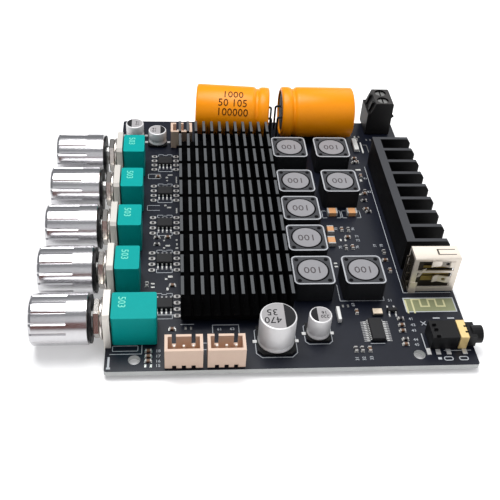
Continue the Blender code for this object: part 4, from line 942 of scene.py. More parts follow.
@dataclass
class Laminate(SubAssembly):
    """The board itself, with its screw holes, printed lines and bare antenna corner."""

    width: float = 100.0
    depth: float = 118.0
    corner: float = 0.8
    hole_radius: float = 1.6
    holes: tuple[Pair, ...] = ((7.7, 3.9), (84.2, 3.9))
    line: float = 0.18
    lines: tuple[tuple[Pair, Pair], ...] = (
        ((19.9, 16.2), (23.5, 16.2)), ((84.9, 37.6), (84.9, 89.9)),
        ((84.9, 27.4), (84.9, 37.2)), ((84.9, 27.4), (99.0, 27.4)),
        ((0.5, 19.9), (19.0, 19.9)), ((9.6, 6.0), (9.6, 19.4)), ((8.7, 5.9), (9.6, 5.9)),
        ((1.3, 5.9), (8.7, 5.9)), ((65.7, 24.4), (78.6, 24.4)), ((78.6, 24.4), (78.6, 25.9)),
        ((65.7, 24.4), (65.7, 31.0)), ((28.6, 12.9), (28.6, 15.8)),
        ((28.6, 15.8), (35.8, 15.8)), ((35.8, 12.9), (35.8, 15.8)))
    patches: tuple[tuple[Pair, Pair], ...] = (((0.8, 1.4), (1.35, 5.0)), ((0.6, 0.9), (1.6, 1.5)))
    outlines: tuple[tuple[Pair, Pair, float], ...] = (
        ((1.8, 6.85), (8.65, 8.85), 0.4), ((23.0, 6.9), (29.0, 9.4), 0.3))
    antenna_low: Pair = (84.1, 19.6)
    antenna_high: Pair = (99.1, 25.3)
    antenna_thickness: float = 0.02
    antenna_frame: Triple = (0.1, 0.3, 0.04)
    trace_width: float = 0.5
    trace_height: float = 0.045
    trace_margins: Pair = (2.5, 0.9)
    feed_steps: Pair = (0.3, 2.2)
    feed_length: float = 0.4
    fold_pitch: float = 4.6
    fold_width: float = 2.4
    fold_count: int = 2

    def build(self) -> None:
        """Model the slab, then what is printed and plated on it."""
        slab = Bench.box("board_slab", (0.0, 0.0, -BOARD_THICKNESS), (self.width, self.depth, 0.0))
        Bench.round_edges(slab, self.corner, 4, Bench.upright)
        for x, y in self.holes:
            Bench.cut(slab, Bench.rod("hole", (x, y, -BOARD_THICKNESS / 2.0), self.hole_radius,
                                      BOARD_THICKNESS * 2.0))
        slab.data.materials.append(Palette.mask.build())
        Bench.paint(slab, Palette.laminate.build(), lambda face: abs(face.normal.z) < 0.5)
        deliver(slab, slot="board_laminate", stands_for=["circuit_board"])
        self.build_lines()
        self.build_antenna()

    def build_lines(self) -> None:
        """Print the plain lines and outlines."""
        marks = [Bench.stroke(start, stop, self.line) for start, stop in self.lines]
        marks += [Bench.flat("stroke", low, high, PRINT_HEIGHT) for low, high in self.patches]
        marks += [Bench.ring_mark("frame", low, high, corner, self.line)
                  for low, high, corner in self.outlines]
        deliver(Bench.join("board_lines", marks), Palette.ink)

    def build_antenna(self) -> None:
        """Model the bare corner area, its outline and the folded trace in it."""
        low, high = self.antenna_low, self.antenna_high
        area = Bench.flat("antenna_area", low, high, self.antenna_thickness)
        deliver(area, Palette.antenna)
        outline = Bench.ring_mark("antenna_outline", low, high, *self.antenna_frame, steps=1)
        deliver(outline, Palette.ink)
        wide, tall = self.trace_width, self.trace_height
        near, far = low[1] + self.trace_margins[0], high[1] - self.trace_margins[1]
        legs = [Bench.flat("leg", (low[0] + step, low[1] - self.feed_length),
                           (low[0] + step + wide, far), tall) for step in self.feed_steps]
        start = low[0] + self.feed_steps[1]
        for fold in range(1, self.fold_count + 1):
            left = low[0] + self.fold_pitch * fold
            right = left + self.fold_width
            legs += [Bench.flat("leg", (x, near), (x + wide, far), tall) for x in (left, right)]
            legs.append(Bench.flat("leg", (left, near - wide), (right + wide, near), tall))
            legs.append(Bench.flat("leg", (start, far), (left + wide, far + wide), tall))
            start = right
        deliver(Bench.join("antenna_trace", legs), Palette.trace)


@dataclass
class LeadedChip(SubAssembly):
    """A flat chip with bent leads along two sides, each on its pad."""

    name: str
    centre: Pair
    size: Triple = (4.9, 3.9, 1.45)
    lead_count: int = 4
    pitch: float = 1.27
    lead_width: float = 0.42
    lead_reach: float = 1.25
    lead_thickness: float = 0.12
    knee: Pair = (0.3, 0.5)
    foot: float = 0.08
    tuck: float = 0.05
    leads_along_x: bool = True
    bevel: float = 0.18
    gap: float = 0.12
    dot_inset: float = 0.7
    dot_radius: float = 0.28
    dot_depth: float = 0.1
    stands_for: tuple[str, ...] = ()
    pad_start: float = 0.4
    pad_reach: float = 1.8
    pad_width: float = 0.5

    def build(self) -> None:
        """Model the body with its dot, and the leads."""
        x, y = self.centre
        half_x, half_y, height = self.size[0] / 2.0, self.size[1] / 2.0, self.size[2]
        body = Bench.box(self.name, (x - half_x, y - half_y, self.gap),
                         (x + half_x, y + half_y, height), self.bevel, 1)
        dot_at = (x - half_x + self.dot_inset, y - half_y + self.dot_inset, height)
        dot = Bench.rod("dot", dot_at, self.dot_radius, self.dot_depth, sides=20)
        Bench.cut(body, dot)
        deliver(body, Palette.chip, stands_for=self.stands_for)
        self.build_leads()

    def build_leads(self) -> None:
        """Model a lead and its pad at the start of each side, and copy them along it."""
        x, y = self.centre
        half = self.size[0 if not self.leads_along_x else 1] / 2.0
        mid = self.size[2] * 0.5
        start = -self.pitch * (self.lead_count - 1) / 2.0
        step = self.turned(self.pitch, 0.0)
        groups: dict[str, list[bpy.types.Object]] = {"pads": [], "leads": []}
        bends = ((0.0, mid), (self.knee[0], mid), (self.knee[1], self.foot),
                 (self.lead_reach, self.foot))
        for side in (-1.0, 1.0):
            path = [(*(Vector((x, y)) + self.turned(start, side * (half - self.tuck + out))), z)
                    for out, z in bends]
            across = (*self.turned(self.lead_width, 0.0), 0.0)
            lead = Bench.ribbon("lead", path, across, self.lead_thickness)
            groups["leads"] += Bench.row(lead, (*step, 0.0), self.lead_count)
            corners = [Vector((x, y)) + self.turned(start + along, side * (half + out))
                       for along, out in ((-self.pad_width / 2.0, self.pad_start),
                                          (self.pad_width / 2.0, self.pad_reach))]
            low, high = ([pick(a, b) for a, b in zip(*corners)] for pick in (min, max))
            pad = Bench.flat("pad", low, high, PAD_HEIGHT)
            groups["pads"] += Bench.row(pad, (*step, 0.0), self.lead_count)
        deliver(Bench.join(f"{self.name}_pads", groups["pads"]), Palette.dull_tin)
        deliver(Bench.join(f"{self.name}_leads", groups["leads"]), Palette.lead)

    def turned(self, along: float, out: float) -> Vector:
        """Return a step along and out of the chip's leaded side, as X and Y."""
        return Vector((along, out) if self.leads_along_x else (out, along))


class Style(Enum):
    """Which plain chip part stands at a place."""

    CAPACITOR = "capacitor"
    RESISTOR = "resistor"
    PAD = "pad"
    ROW = "row"


CHIP_PART_FINISHES: dict[str, Finish] = {
    "ends": Palette.terminal, "pads": Palette.tin, "rings": Palette.terminal,
    "row": Palette.resistor, "capacitor": Palette.capacitor, "resistor": Palette.resistor}


@dataclass
class ChipParts(SubAssembly):
    """The small chip capacitors and resistors, and the bare pads between them."""

    length: float = 1.6
    width: float = 0.8
    height: float = 0.6
    end: float = 0.34
    pad_margin: float = 0.2
    row_pitch: float = 2.5
    row_shift: float = -0.45
    columns: Pair = (11.65, 19.0)
    ring: Pair = (0.98, 0.66)
    ring_height: float = 0.3
    ring_corner: float = 0.9
    core: Pair = (0.4, 0.46)
    core_levels: Pair = (0.1, 0.36)
    pad_overhang: float = 0.1
    end_overhang: float = 0.02
    rows: tuple[float, ...] = (23.5, 42.0, 58.65, 75.0, 91.9)
    singles: tuple[tuple[float, float, Style], ...] = (
        (81.8, 17.0, Style.RESISTOR), (81.6, 14.6, Style.CAPACITOR),
        (81.4, 12.45, Style.CAPACITOR), (81.5, 9.3, Style.RESISTOR),
        (81.2, 7.5, Style.CAPACITOR), (11.35, 6.7, Style.CAPACITOR),
        (11.35, 4.9, Style.CAPACITOR), (11.35, 3.25, Style.CAPACITOR),
        (11.35, 1.8, Style.PAD), (66.9, 22.4, Style.PAD), (16.3, 52.6, Style.CAPACITOR),
        (13.0, 52.4, Style.RESISTOR), (13.0, 49.3, Style.RESISTOR), (13.0, 83.7, Style.CAPACITOR),
        (17.7, 31.4, Style.CAPACITOR), (82.4, 92.6, Style.CAPACITOR), (81.6, 64.8, Style.RESISTOR),
        (82.0, 74.4, Style.CAPACITOR),
        (17.6, 14.4, Style.CAPACITOR), (22.0, 14.8, Style.PAD),
        (85.4, 108.6, Style.PAD), (84.5, 106.7, Style.RESISTOR), (82.0, 94.7, Style.CAPACITOR),
        (81.6, 92.2, Style.RESISTOR), (81.2, 70.7, Style.RESISTOR),
        (81.0, 66.2, Style.CAPACITOR), (72.5, 52.2, Style.CAPACITOR), (82.3, 41.4, Style.CAPACITOR),
        (70.9, 51.0, Style.PAD), (89.4, 106.7, Style.PAD))
    turned: tuple[tuple[float, float, Style], ...] = (
        (67.06, 6.0, Style.RESISTOR), (68.8, 6.0, Style.RESISTOR), (70.9, 5.95, Style.CAPACITOR),
        (69.7, 19.9, Style.CAPACITOR), (82.5, 84.3, Style.CAPACITOR), (82.4, 75.5, Style.RESISTOR),
        (71.2, 55.9, Style.CAPACITOR), (73.3, 55.8, Style.RESISTOR), (71.2, 47.3, Style.RESISTOR),
        (73.3, 47.5, Style.CAPACITOR), (82.7, 45.1, Style.RESISTOR), (82.9, 36.8, Style.CAPACITOR),
        (66.8, 39.6, Style.PAD), (10.4, 31.9, Style.RESISTOR), (12.1, 31.6, Style.PAD))
    patches: tuple[tuple[float, float, float, float], ...] = (
        (15.9, 83.4, 0.8, 0.8), (17.0, 84.8, 1.6, 0.7), (16.0, 81.7, 0.6, 0.6),
        (15.5, 68.4, 0.7, 0.8), (16.7, 67.3, 1.3, 0.7), (16.3, 48.8, 1.4, 0.7),
        (15.2, 51.2, 0.5, 0.6), (15.2, 47.8, 0.6, 0.6), (19.0, 51.4, 0.5, 0.7),
        (19.1, 49.4, 0.5, 0.9), (19.1, 47.7, 0.8, 0.7), (17.1, 35.2, 1.4, 0.8),
        (15.9, 34.2, 0.7, 0.7), (16.3, 30.1, 0.6, 1.1), (82.3, 88.1, 1.8, 0.8),
        (82.2, 82.0, 0.8, 1.2), (80.5, 74.2, 0.7, 0.7), (84.5, 99.6, 0.9, 0.9),
        (19.1, 82.1, 0.4, 3.6), (19.1, 65.7, 0.45, 2.6), (88.1, 101.0, 0.25, 4.4),
        (87.4, 103.4, 1.5, 0.25))

    def spots(self) -> list[tuple[float, float, Style, bool]]:
        """List the places of all parts.

        Returns:
            Each part's X and Y, its kind and whether it lies along Y.
        """
        found = [(column, row + self.row_shift + self.row_pitch * (index - 1.5), Style.ROW, False)
                 for row in self.rows for column in self.columns for index in range(4)]
        found += [(x, y, kind, False) for x, y, kind in self.singles]
        found += [(x, y, kind, True) for x, y, kind in self.turned]
        return found

    def model(self, kind: Style) -> dict[str, bpy.types.Object]:
        """Model one part of a kind, lying along X at the board's corner.

        Args:
            kind: Its kind.

        Returns:
            Its pieces, by the group that they join.
        """
        if kind is Style.ROW:
            long, half = self.ring
            ring = self.block(-long, long, half, 0.0, self.ring_height)
            Bench.round_edges(ring, half * self.ring_corner, 3, Bench.upright)
            long, half = self.core
            return {"rings": ring, "row": self.block(-long, long, half, *self.core_levels)}
        long, half = self.length / 2.0, self.width / 2.0
        inner, pad = long - self.end, long + self.pad_margin
        found = {"pads": Bench.join("pads", [
            self.block(*sorted((side * inner, side * pad)), half + self.pad_overhang, 0.0,
                       PAD_HEIGHT)
            for side in (-1.0, 1.0)])}
        if kind is not Style.PAD:
            found[kind.value] = self.block(-inner, inner, half, PAD_HEIGHT, self.height)
            found["ends"] = Bench.join("ends", [
                self.block(*sorted((side * inner, side * long)), half + self.end_overhang,
                           PAD_HEIGHT, self.height + self.end_overhang)
                for side in (-1.0, 1.0)])
        return found

    @staticmethod
    def block(start: float, stop: float, half: float, low: float, high: float
              ) -> bpy.types.Object:
        """Return a block from start to stop along X, half as wide as half to each side."""
        return Bench.box("block", (start, -half, low), (stop, half, high))

    def build(self) -> None:
        """Model one part of each kind, copy it to its places, and add the bare patches."""
        models = {kind: self.model(kind) for kind in Style}
        groups: dict[str, list[bpy.types.Object]] = {name: [] for name in CHIP_PART_FINISHES}
        for x, y, kind, turned in self.spots():
            quarter = Matrix.Rotation(math.pi / 2.0 if turned else 0.0, 4, "Z")
            change = Matrix.Translation(place(x, y)) @ quarter @ Matrix.Translation(-CORNER)
            for name, piece in models[kind].items():
                groups[name].append(Bench.copy(piece, name, change))
        groups["pads"] += [Bench.flat("pad", (x - wide / 2.0, y - deep / 2.0),
                                      (x + wide / 2.0, y + deep / 2.0), PAD_HEIGHT)
                           for x, y, wide, deep in self.patches]
        for kind in models.values():
            for piece in kind.values():
                bpy.data.objects.remove(piece)
        for name, pieces in groups.items():
            deliver(Bench.join(f"chip_part_{name}", pieces), CHIP_PART_FINISHES[name])


@dataclass
class KnobCap(SubAssembly):
    """The first knob's fluted chrome cap; the other knobs are copies of it."""

    count: int = 5
    groove_count: int = 15
    groove_depth: float = 0.25
    band: float = 5.4
    back_profile: tuple[Pair, ...] = ((0.0, 0.2), (0.15, 0.0), (5.4, 0.0))
    front_profile: tuple[Pair, ...] = ((1.05, 0.0), (0.9, 0.01), (0.405, 0.25), (0.1, 0.65),
                                       (0.0, 1.1), (0.1, 1.5), (0.35, 1.8))
    dish_radius: float = 0.5

    def build(self) -> None:
        """Turn the plain band and the fluted front of the cap."""
        low, high = node_box("knob_cap_1")
        radius, length = (high.y - low.y) / 2.0, high.x - low.x
        middle = node_middle("knob_cap_1")
        back = [(along, radius - drop) for along, drop in self.back_profile]
        band = Bench.turned("band", (high.x, middle.y, middle.z), back, Axis.LEFT, 120)
        reach = length - self.band
        front = [(0.0, radius)] + [(reach - short, radius - drop)
                                   for short, drop in self.front_profile]
        front.append((front[-1][0], self.dish_radius))
        cap = Bench.turned("front", (high.x - self.band, middle.y, middle.z), front, Axis.LEFT,
                           self.groove_count * 8, grooves=(8, self.groove_depth))
        cap = Bench.smooth(Bench.join("chrome_cap_1", [cap, band]), 30.0)
        deliver(cap, Palette.chrome, "knob_chrome", "knob_1", ["knob_cap_1"])

    def dress(self) -> None:
        """Finish the shafts and the black cores behind the caps."""
        numbers = range(1, self.count + 1)
        dress([f"shaft_{number}" for number in numbers], Palette.shaft)
        dress([f"knob_core_{number}" for number in numbers], Palette.black)


@dataclass
class FrontPlate(SubAssembly):
    """The first potentiometer's front plate, tube, washer and nut; the others are copies."""

    count: int = 5
    thickness: float = 1.8
    chamfer: float = 0.9
    tube_radius: float = 3.45
    nut_thickness: float = 1.7
    nut_radius: float = 5.45
    nut_corner: Pair = (0.25, 0.4)
    washer_thickness: float = 0.5
    washer_radius: float = 5.7
    washer_gap: float = 0.25
    washer_bevel: float = 0.08
    nut_gap: float = 0.4
    text: str = "503"
    text_at: Pair = (2.6, 1.2)
    text_size: float = 2.0

    def build(self) -> None:
        """Model the plate, what is screwed on it, and the digits on the housing behind it."""
        low, high = node_box("bushing_plate_1")
        middle = node_middle("bushing_plate_1")
        middle.z = node_middle("knob_cap_1").z
        front = high.x - self.thickness
        plate = Bench.box("front_plate_1", (front, low.y, low.z), high)
        top = place(0.0, 0.0, high.z - 0.1).z
        Bench.round_edges(plate, self.chamfer, 1, lambda edge: (
            min(v.co.z for v in edge.verts) > top
            and abs(edge.verts[0].co.x - edge.verts[1].co.x) > MM / 10.0))
        deliver(plate, Palette.plate, "plated_steel", stands_for=["bushing_plate_1"])
        tube = Bench.rod("tube", ((low.x + front) / 2.0, middle.y, middle.z), self.tube_radius,
                         front - low.x, Axis.LEFT, 48)
        washer_x = front - self.washer_gap - self.washer_thickness / 2.0
        washer = Bench.rod("washer", (washer_x, middle.y, middle.z), self.washer_radius,
                           self.washer_thickness, Axis.LEFT, 64)
        Bench.round_edges(washer, self.washer_bevel, 2)
        start, (edge, drop) = front - self.nut_gap - self.washer_thickness, self.nut_corner
        nut = Bench.turned("nut", (start, middle.y, middle.z), (
            (0.0, self.nut_radius - drop), (edge, self.nut_radius),
            (self.nut_thickness - edge, self.nut_radius),
            (self.nut_thickness, self.nut_radius - drop)), Axis.LEFT, 6)
        metal = Bench.join("washer_and_nut_1", [tube, washer, nut])
        deliver(Bench.smooth(metal, 30.0), Palette.plated, "plated_steel")
        low, high = node_box("pot_housing_1")
        print_ = Bench.digits("pot_digits_1", self.text,
                              (low.x + self.text_at[0],
                               node_middle("pot_housing_1").y + self.text_at[1], high.z + 0.01),
                              self.text_size, -90.0)
        deliver(print_, Palette.pale_print)

    def dress(self) -> None:
        """Finish the moulded housings."""
        dress([f"pot_housing_{number}" for number in range(1, self.count + 1)], Palette.teal)


@dataclass
class LyingCapacitor(SubAssembly):
    """A large capacitor that lies along the far edge, in its shrunk sleeve."""

    number: int = 1
    centre: Triple = (39.227, 111.0, 9.2)
    length: float = 25.6
    radius: float = 8.88
    yaw: float = math.radians(-5.0)
    seal_side: Axis = Axis.RIGHT
    groove_at: float = 4.3
    groove_half: float = 0.9
    start_profile: tuple[Pair, ...] = ((0.0, 1.2), (0.0, 0.6), (0.2, 0.2), (0.6, 0.0))
    groove_profile: tuple[Pair, ...] = ((-2.0, 0.0), (-1.0, 0.15), (-0.4, 0.7), (0.4, 0.7),
                                        (1.0, 0.15), (2.0, 0.0))
    end_profile: tuple[Pair, ...] = ((0.6, 0.0), (0.15, 0.3), (0.0, 0.8), (0.0, 1.25), (1.9, 1.3))
    can_profile: tuple[Pair, ...] = ((0.0, 1.6), (0.0, 1.15), (0.3, 1.15))
    can_gap: float = 0.02
    text: tuple[str, ...] = ()
    text_tilts: tuple[float, ...] = (20.0, 41.0, 62.0)
    text_size: float = 2.6
    text_height: float = 0.06

    def build(self) -> None:
        """Model the sleeve with its groove and rolled edges, and the bare end of the can."""
        r, length, groove = self.radius, self.length, self.length - self.groove_at
        profile = [(along, r - drop) for along, drop in self.start_profile]
        profile += [(groove + share * self.groove_half, r - drop)
                    for share, drop in self.groove_profile]
        profile += [(length - short, r - drop) for short, drop in self.end_profile]
        along = Matrix.Rotation(self.yaw, 4, "Z") @ self.seal_side.value @ Vector(UP)
        start = Vector(self.centre) - along * length / 2.0
        sleeve = Bench.turned(f"sleeve_{self.number}", start, profile, self.seal_side, 96, self.yaw)
        deliver(Bench.smooth(sleeve, 40.0), Palette.orange, "orange_sleeve",
                stands_for=[f"big_capacitor_{self.number}"])
        end = Bench.turned(f"can_end_{self.number}", start - along * self.can_gap,
                           [(reach, r - drop) for reach, drop in self.can_profile],
                           self.seal_side, 96, self.yaw)
        deliver(end, Palette.aluminium)
        if self.text:
            self.build_print()

    def build_print(self) -> None:
        """Print plain digits on the side that faces the camera, one line below the other."""
        lines = []
        x, y, z = self.centre
        pivot = Matrix.Translation(place(x, y, z))
        turn = pivot @ Matrix.Rotation(self.yaw, 4, "Z")
        for line, tilt in zip(self.text, self.text_tilts):
            mark = Bench.digits("digits", line, (x, y, z + self.radius + MARK_LIFT),
                                self.text_size, 0.0, self.text_height)
            mark.matrix_world = (turn @ Matrix.Rotation(math.radians(tilt), 4, "X")
                                 @ pivot.inverted())
            lines.append(Bench.settle("digits"))
        deliver(Bench.join(f"sleeve_digits_{self.number}", lines), Palette.sleeve_print)

    def dress(self) -> None:
        """Finish the rubber seal."""
        dress([f"capacitor_seal_{self.number}"], Palette.rubber)


@dataclass
class UprightCapacitor(SubAssembly):
    """A round can on a square foot, with a printed black segment on top."""

    number: int = 1
    foot_height: float = 0.9
    can_floor: float = 0.5
    can_profile: tuple[Pair, ...] = ((0.0, 0.35), (0.12, 0.05), (0.5, 0.0), (0.9, 0.05),
                                     (1.25, 0.4), (1.5, 0.42), (1.85, 0.08), (2.1, 0.04))
    top_profile: tuple[Pair, ...] = ((0.4, 0.04), (0.1, 0.16), (0.0, 0.42))
    lid_inset: float = 0.45
    foot_gap: float = 0.3
    foot_corner: float = 0.26
    tab_half: Pair = (0.6, 0.5)
    tab_height: float = 0.25
    outline_margin: float = 0.5
    outline_corner: float = 0.3
    outline_width: float = 0.18
    segment_share: float = 0.33
    segment_side: int = 1
    text: tuple[str, ...] = ("470", "35")
    text_size: float = 2.2
    text_share: float = 0.32
    line_pitch: float = 1.25
    outline: bool = True

    def build(self) -> None:
        """Model the foot, the can, its printed segment, digits and board outline."""
        low, high = node_box(f"upright_capacitor_{self.number}")
        x, y, _ = node_middle(f"upright_capacitor_{self.number}")
        top = high.z
        half = (high.y - low.y) / 2.0
        r = half - 0.15 if half < 4.0 else 5.0
        foot = Bench.box(f"can_foot_{self.number}", (x - half, y - half, self.foot_gap),
                         (x + half, y + half, self.foot_height))
        Bench.round_edges(foot, half * self.foot_corner, 1, lambda edge: (
            Bench.upright(edge) and edge.verts[0].co.y < place(x, y).y))
        deliver(foot, Palette.black, stands_for=[f"upright_capacitor_{self.number}"])
        tall = top - self.can_floor
        profile = [(along, r - drop) for along, drop in self.can_profile]
        profile += [(tall - short, r - drop) for short, drop in self.top_profile]
        can = Bench.turned(f"can_{self.number}", (x, y, self.can_floor), profile,
                           Axis.UP, 72)
        deliver(Bench.smooth(can, 45.0), Palette.aluminium, "can_aluminium")
        # The can's top is covered with a darker copy of its aluminium: painted shade.
        lid = Bench.rod(f"can_top_{self.number}", (x, y, top - 0.01), r - self.lid_inset, 0.04,
                        Axis.UP, 64)
        deliver(lid, Palette.can_top)
        mark = Bench.rod(f"can_segment_{self.number}", (x, y, top + 0.02), r - self.lid_inset,
                         0.05, Axis.UP, 64)
        left, right = sorted((x - self.segment_side * 2 * r,
                              x + self.segment_side * self.segment_share * r))
        Bench.cut(mark, Bench.box("cut", (left, y - 2 * r, top - 1.0),
                                  (right, y + 2 * r, top + 1.0)))
        deliver(mark, Palette.can_mark)
        shift = -self.segment_side * r * self.text_share
        pitch = self.text_size * self.line_pitch
        first = y - pitch * (len(self.text) - 1) / 2.0
        lines = [Bench.digits("digits", line, (x + shift, first + pitch * index, top + 0.03),
                              self.text_size, 180.0, 0.06) for index, line in enumerate(self.text)]
        deliver(Bench.join(f"can_digits_{self.number}", lines), Palette.can_mark)
        reach = half + self.outline_margin
        wide, deep = self.tab_half
        tabs = [Bench.flat("tab", (x + side - wide, y - deep), (x + side + wide, y + deep),
                           self.tab_height) for side in (-reach, reach)]
        deliver(Bench.join(f"can_tabs_{self.number}", tabs), Palette.lead)
        if self.outline:
            line = Bench.ring_mark(f"can_outline_{self.number}", (x - reach, y - reach),
                                   (x + reach, y + reach), half * self.outline_corner,
                                   self.outline_width, steps=1)
            deliver(line, Palette.ink)


@dataclass
class PowerInductor(SubAssembly):
    """The first moulded inductor, with a pale rim and a round centre; the others are copies."""

    corner: float = 1.5
    rim_width: float = 0.42
    disc_radius: float = 4.25
    disc_bevel: float = 0.06
    rim_height: float = 0.1
    well_width: float = 0.5
    lobe_inset: float = 1.55
    lobe_radius: float = 0.62
    text: str = "100"
    text_size: float = 2.6

    def build(self) -> None:
        """Model the body, the pale rim, the centre and its digits, and paint the corner hollows and
        the well round the centre as near-black discs: painted shade.
        """
        low, high = node_box("power_inductor_1")
        x, y, _ = node_middle("power_inductor_1")
        body = Bench.box("inductor_1", low, (high.x, high.y, high.z - 0.08))
        Bench.round_edges(body, self.corner, 5, Bench.upright)
        deliver(Bench.smooth(body, 30.0), Palette.ferrite, "ferrite",
                stands_for=["power_inductor_1"])
        rim = Bench.ring_mark("inductor_rim_1", (low.x, low.y), (high.x, high.y), self.corner,
                              self.rim_width, self.rim_height,
                              level=high.z - self.rim_height)
        deliver(rim, Palette.rim)
        # The corner hollows and the well round the centre are flat near-black discs: painted shade.
        reach = (high.x - low.x) / 2.0 - self.lobe_inset
        lobe = Bench.rod("lobe", (x - reach, y - reach, high.z - 0.07), self.lobe_radius, 0.1,
                         Axis.UP, 20)
        lobes = [far for near in Bench.row(lobe, (2.0 * reach, 0.0, 0.0), 2)
                 for far in Bench.row(near, (0.0, 2.0 * reach, 0.0), 2)]
        deliver(Bench.join("inductor_lobes_1", lobes), Palette.well)
        well = Bench.rod("inductor_well_1", (x, y, high.z - 0.07),
                         self.disc_radius + self.well_width, 0.04, Axis.UP, 64)
        deliver(well, Palette.well)
        disc = Bench.rod("inductor_centre_1", (x, y, high.z - 0.05), self.disc_radius, 0.16,
                         Axis.UP, 64)
        Bench.round_edges(disc, self.disc_bevel, 2)
        deliver(disc, Palette.coil_top)
        print_ = Bench.digits("inductor_digits_1", self.text, (x, y, high.z + 0.05),
                              self.text_size, 180.0, 0.04)
        deliver(print_, Palette.coil_print)


@dataclass
class Header(SubAssembly):
    """An open-topped pin header with square pins."""

    number: int = 1
    like: tuple[int, ...] = ()
    pin_count: int = 3
    pitch: float = 2.5
    pin_side: float = 0.68
    pin_top: float = 5.85
    pin_bevel: float = 0.15
    floor: float = 2.1
    floor_shade_inset: float = 0.82

    def build(self) -> None:
        """Model the pins, and the floor inside, painted a darker tan than the housing: painted
        shade.
        """
        low, high = node_box(f"pin_header_{self.number}")
        x, y, _ = node_middle(f"pin_header_{self.number}")
        half = self.pin_side / 2.0
        x -= self.pitch * (self.pin_count - 1) / 2.0
        pin = Bench.box("pin", (x - half, y - half, self.floor),
                        (x + half, y + half, self.pin_top), self.pin_bevel, 1)
        pins = Bench.row(pin, (self.pitch, 0.0, 0.0), self.pin_count)
        deliver(Bench.join(f"header_pins_{self.number}", pins), Palette.lead)
        # The floor inside is a thin sheet painted a darker tan: painted shade in the header's
        # hollow.
        inset = self.floor_shade_inset
        floor_shade = Bench.box(f"header_floor_{self.number}",
                           (low.x + inset, low.y + inset, self.floor),
                           (high.x - inset, high.y - inset, self.floor + MARK_LIFT))
        deliver(floor_shade, Palette.floor_shade)

    def dress(self) -> None:
        """Finish the housing and those of its likes."""
        dress([f"pin_header_{number}" for number in (self.number, *self.like)], Palette.cream)


@dataclass
class Crystal(SubAssembly):
    """The small metal-lidded crystal beside the control chip."""

    ledge: float = 0.25
    foot_share: float = 0.35

    def build(self) -> None:
        """Model the ceramic foot and the metal lid."""
        low, high = node_box("crystal")
        step = low.z + (high.z - low.z) * self.foot_share
        foot = Bench.box("crystal_foot", low, (high.x, high.y, step), 0.06, 1)
        deliver(foot, Palette.chip, stands_for=["crystal"])
        lid = Bench.box("crystal_lid", (low.x + self.ledge, low.y + self.ledge, step),
                        (high.x - self.ledge, high.y - self.ledge, high.z), 0.12, 2)
        deliver(lid, Palette.lid, "crystal_can")


@dataclass
class LooseParts(SubAssembly):
    """The few larger parts that stand by themselves on the board."""

    ceramics: tuple[tuple[float, float, float, float], ...] = (
        (69.3, 63.9, 3.3, 2.7), (75.7, 63.9, 3.3, 2.7), (67.3, 54.9, 2.1, 3.1),
        (66.9, 49.6, 2.3, 3.5))
    ceramic_height: float = 1.5
    ceramic_share: float = 0.68
    strips: tuple[tuple[float, float, float, float, float], ...] = (
        (64.2, 18.4, 0.95, 5.0, 1.6), (83.7, 102.5, 1.7, 7.0, 1.2), (85.9, 101.2, 0.5, 6.6, 0.5))

    def build(self) -> None:
        """Model the ceramics with their ends, and the strips."""
        bodies, ends = [], []
        for x, y, wide, deep in self.ceramics:
            along_y = deep > wide
            half, side = max(wide, deep) / 2.0, min(wide, deep) / 2.0
            inner = half * self.ceramic_share
            for piece, start, stop, grow in (("body", -inner, inner, 0.0),
                                             ("end", -half, -inner, 0.02),
                                             ("end", inner, half, 0.02)):
                low = (x - side - grow, y + start) if along_y else (x + start, y - side - grow)
                high = (x + side + grow, y + stop) if along_y else (x + stop, y + side + grow)
                made = Bench.box(piece, (*low, 0.05), (*high, self.ceramic_height + grow), 0.08, 1)
                (bodies if piece == "body" else ends).append(made)
        deliver(Bench.join("ceramic_bodies", bodies), Palette.tan)
        deliver(Bench.join("ceramic_ends", ends), Palette.terminal)
        strips = [Bench.box("strip", (x - wide / 2, y - long / 2, 0.03),
                            (x + wide / 2, y + long / 2, tall), 0.1, 1)
                  for x, y, wide, long, tall in self.strips]
        deliver(Bench.join("white_strips", strips), Palette.white)


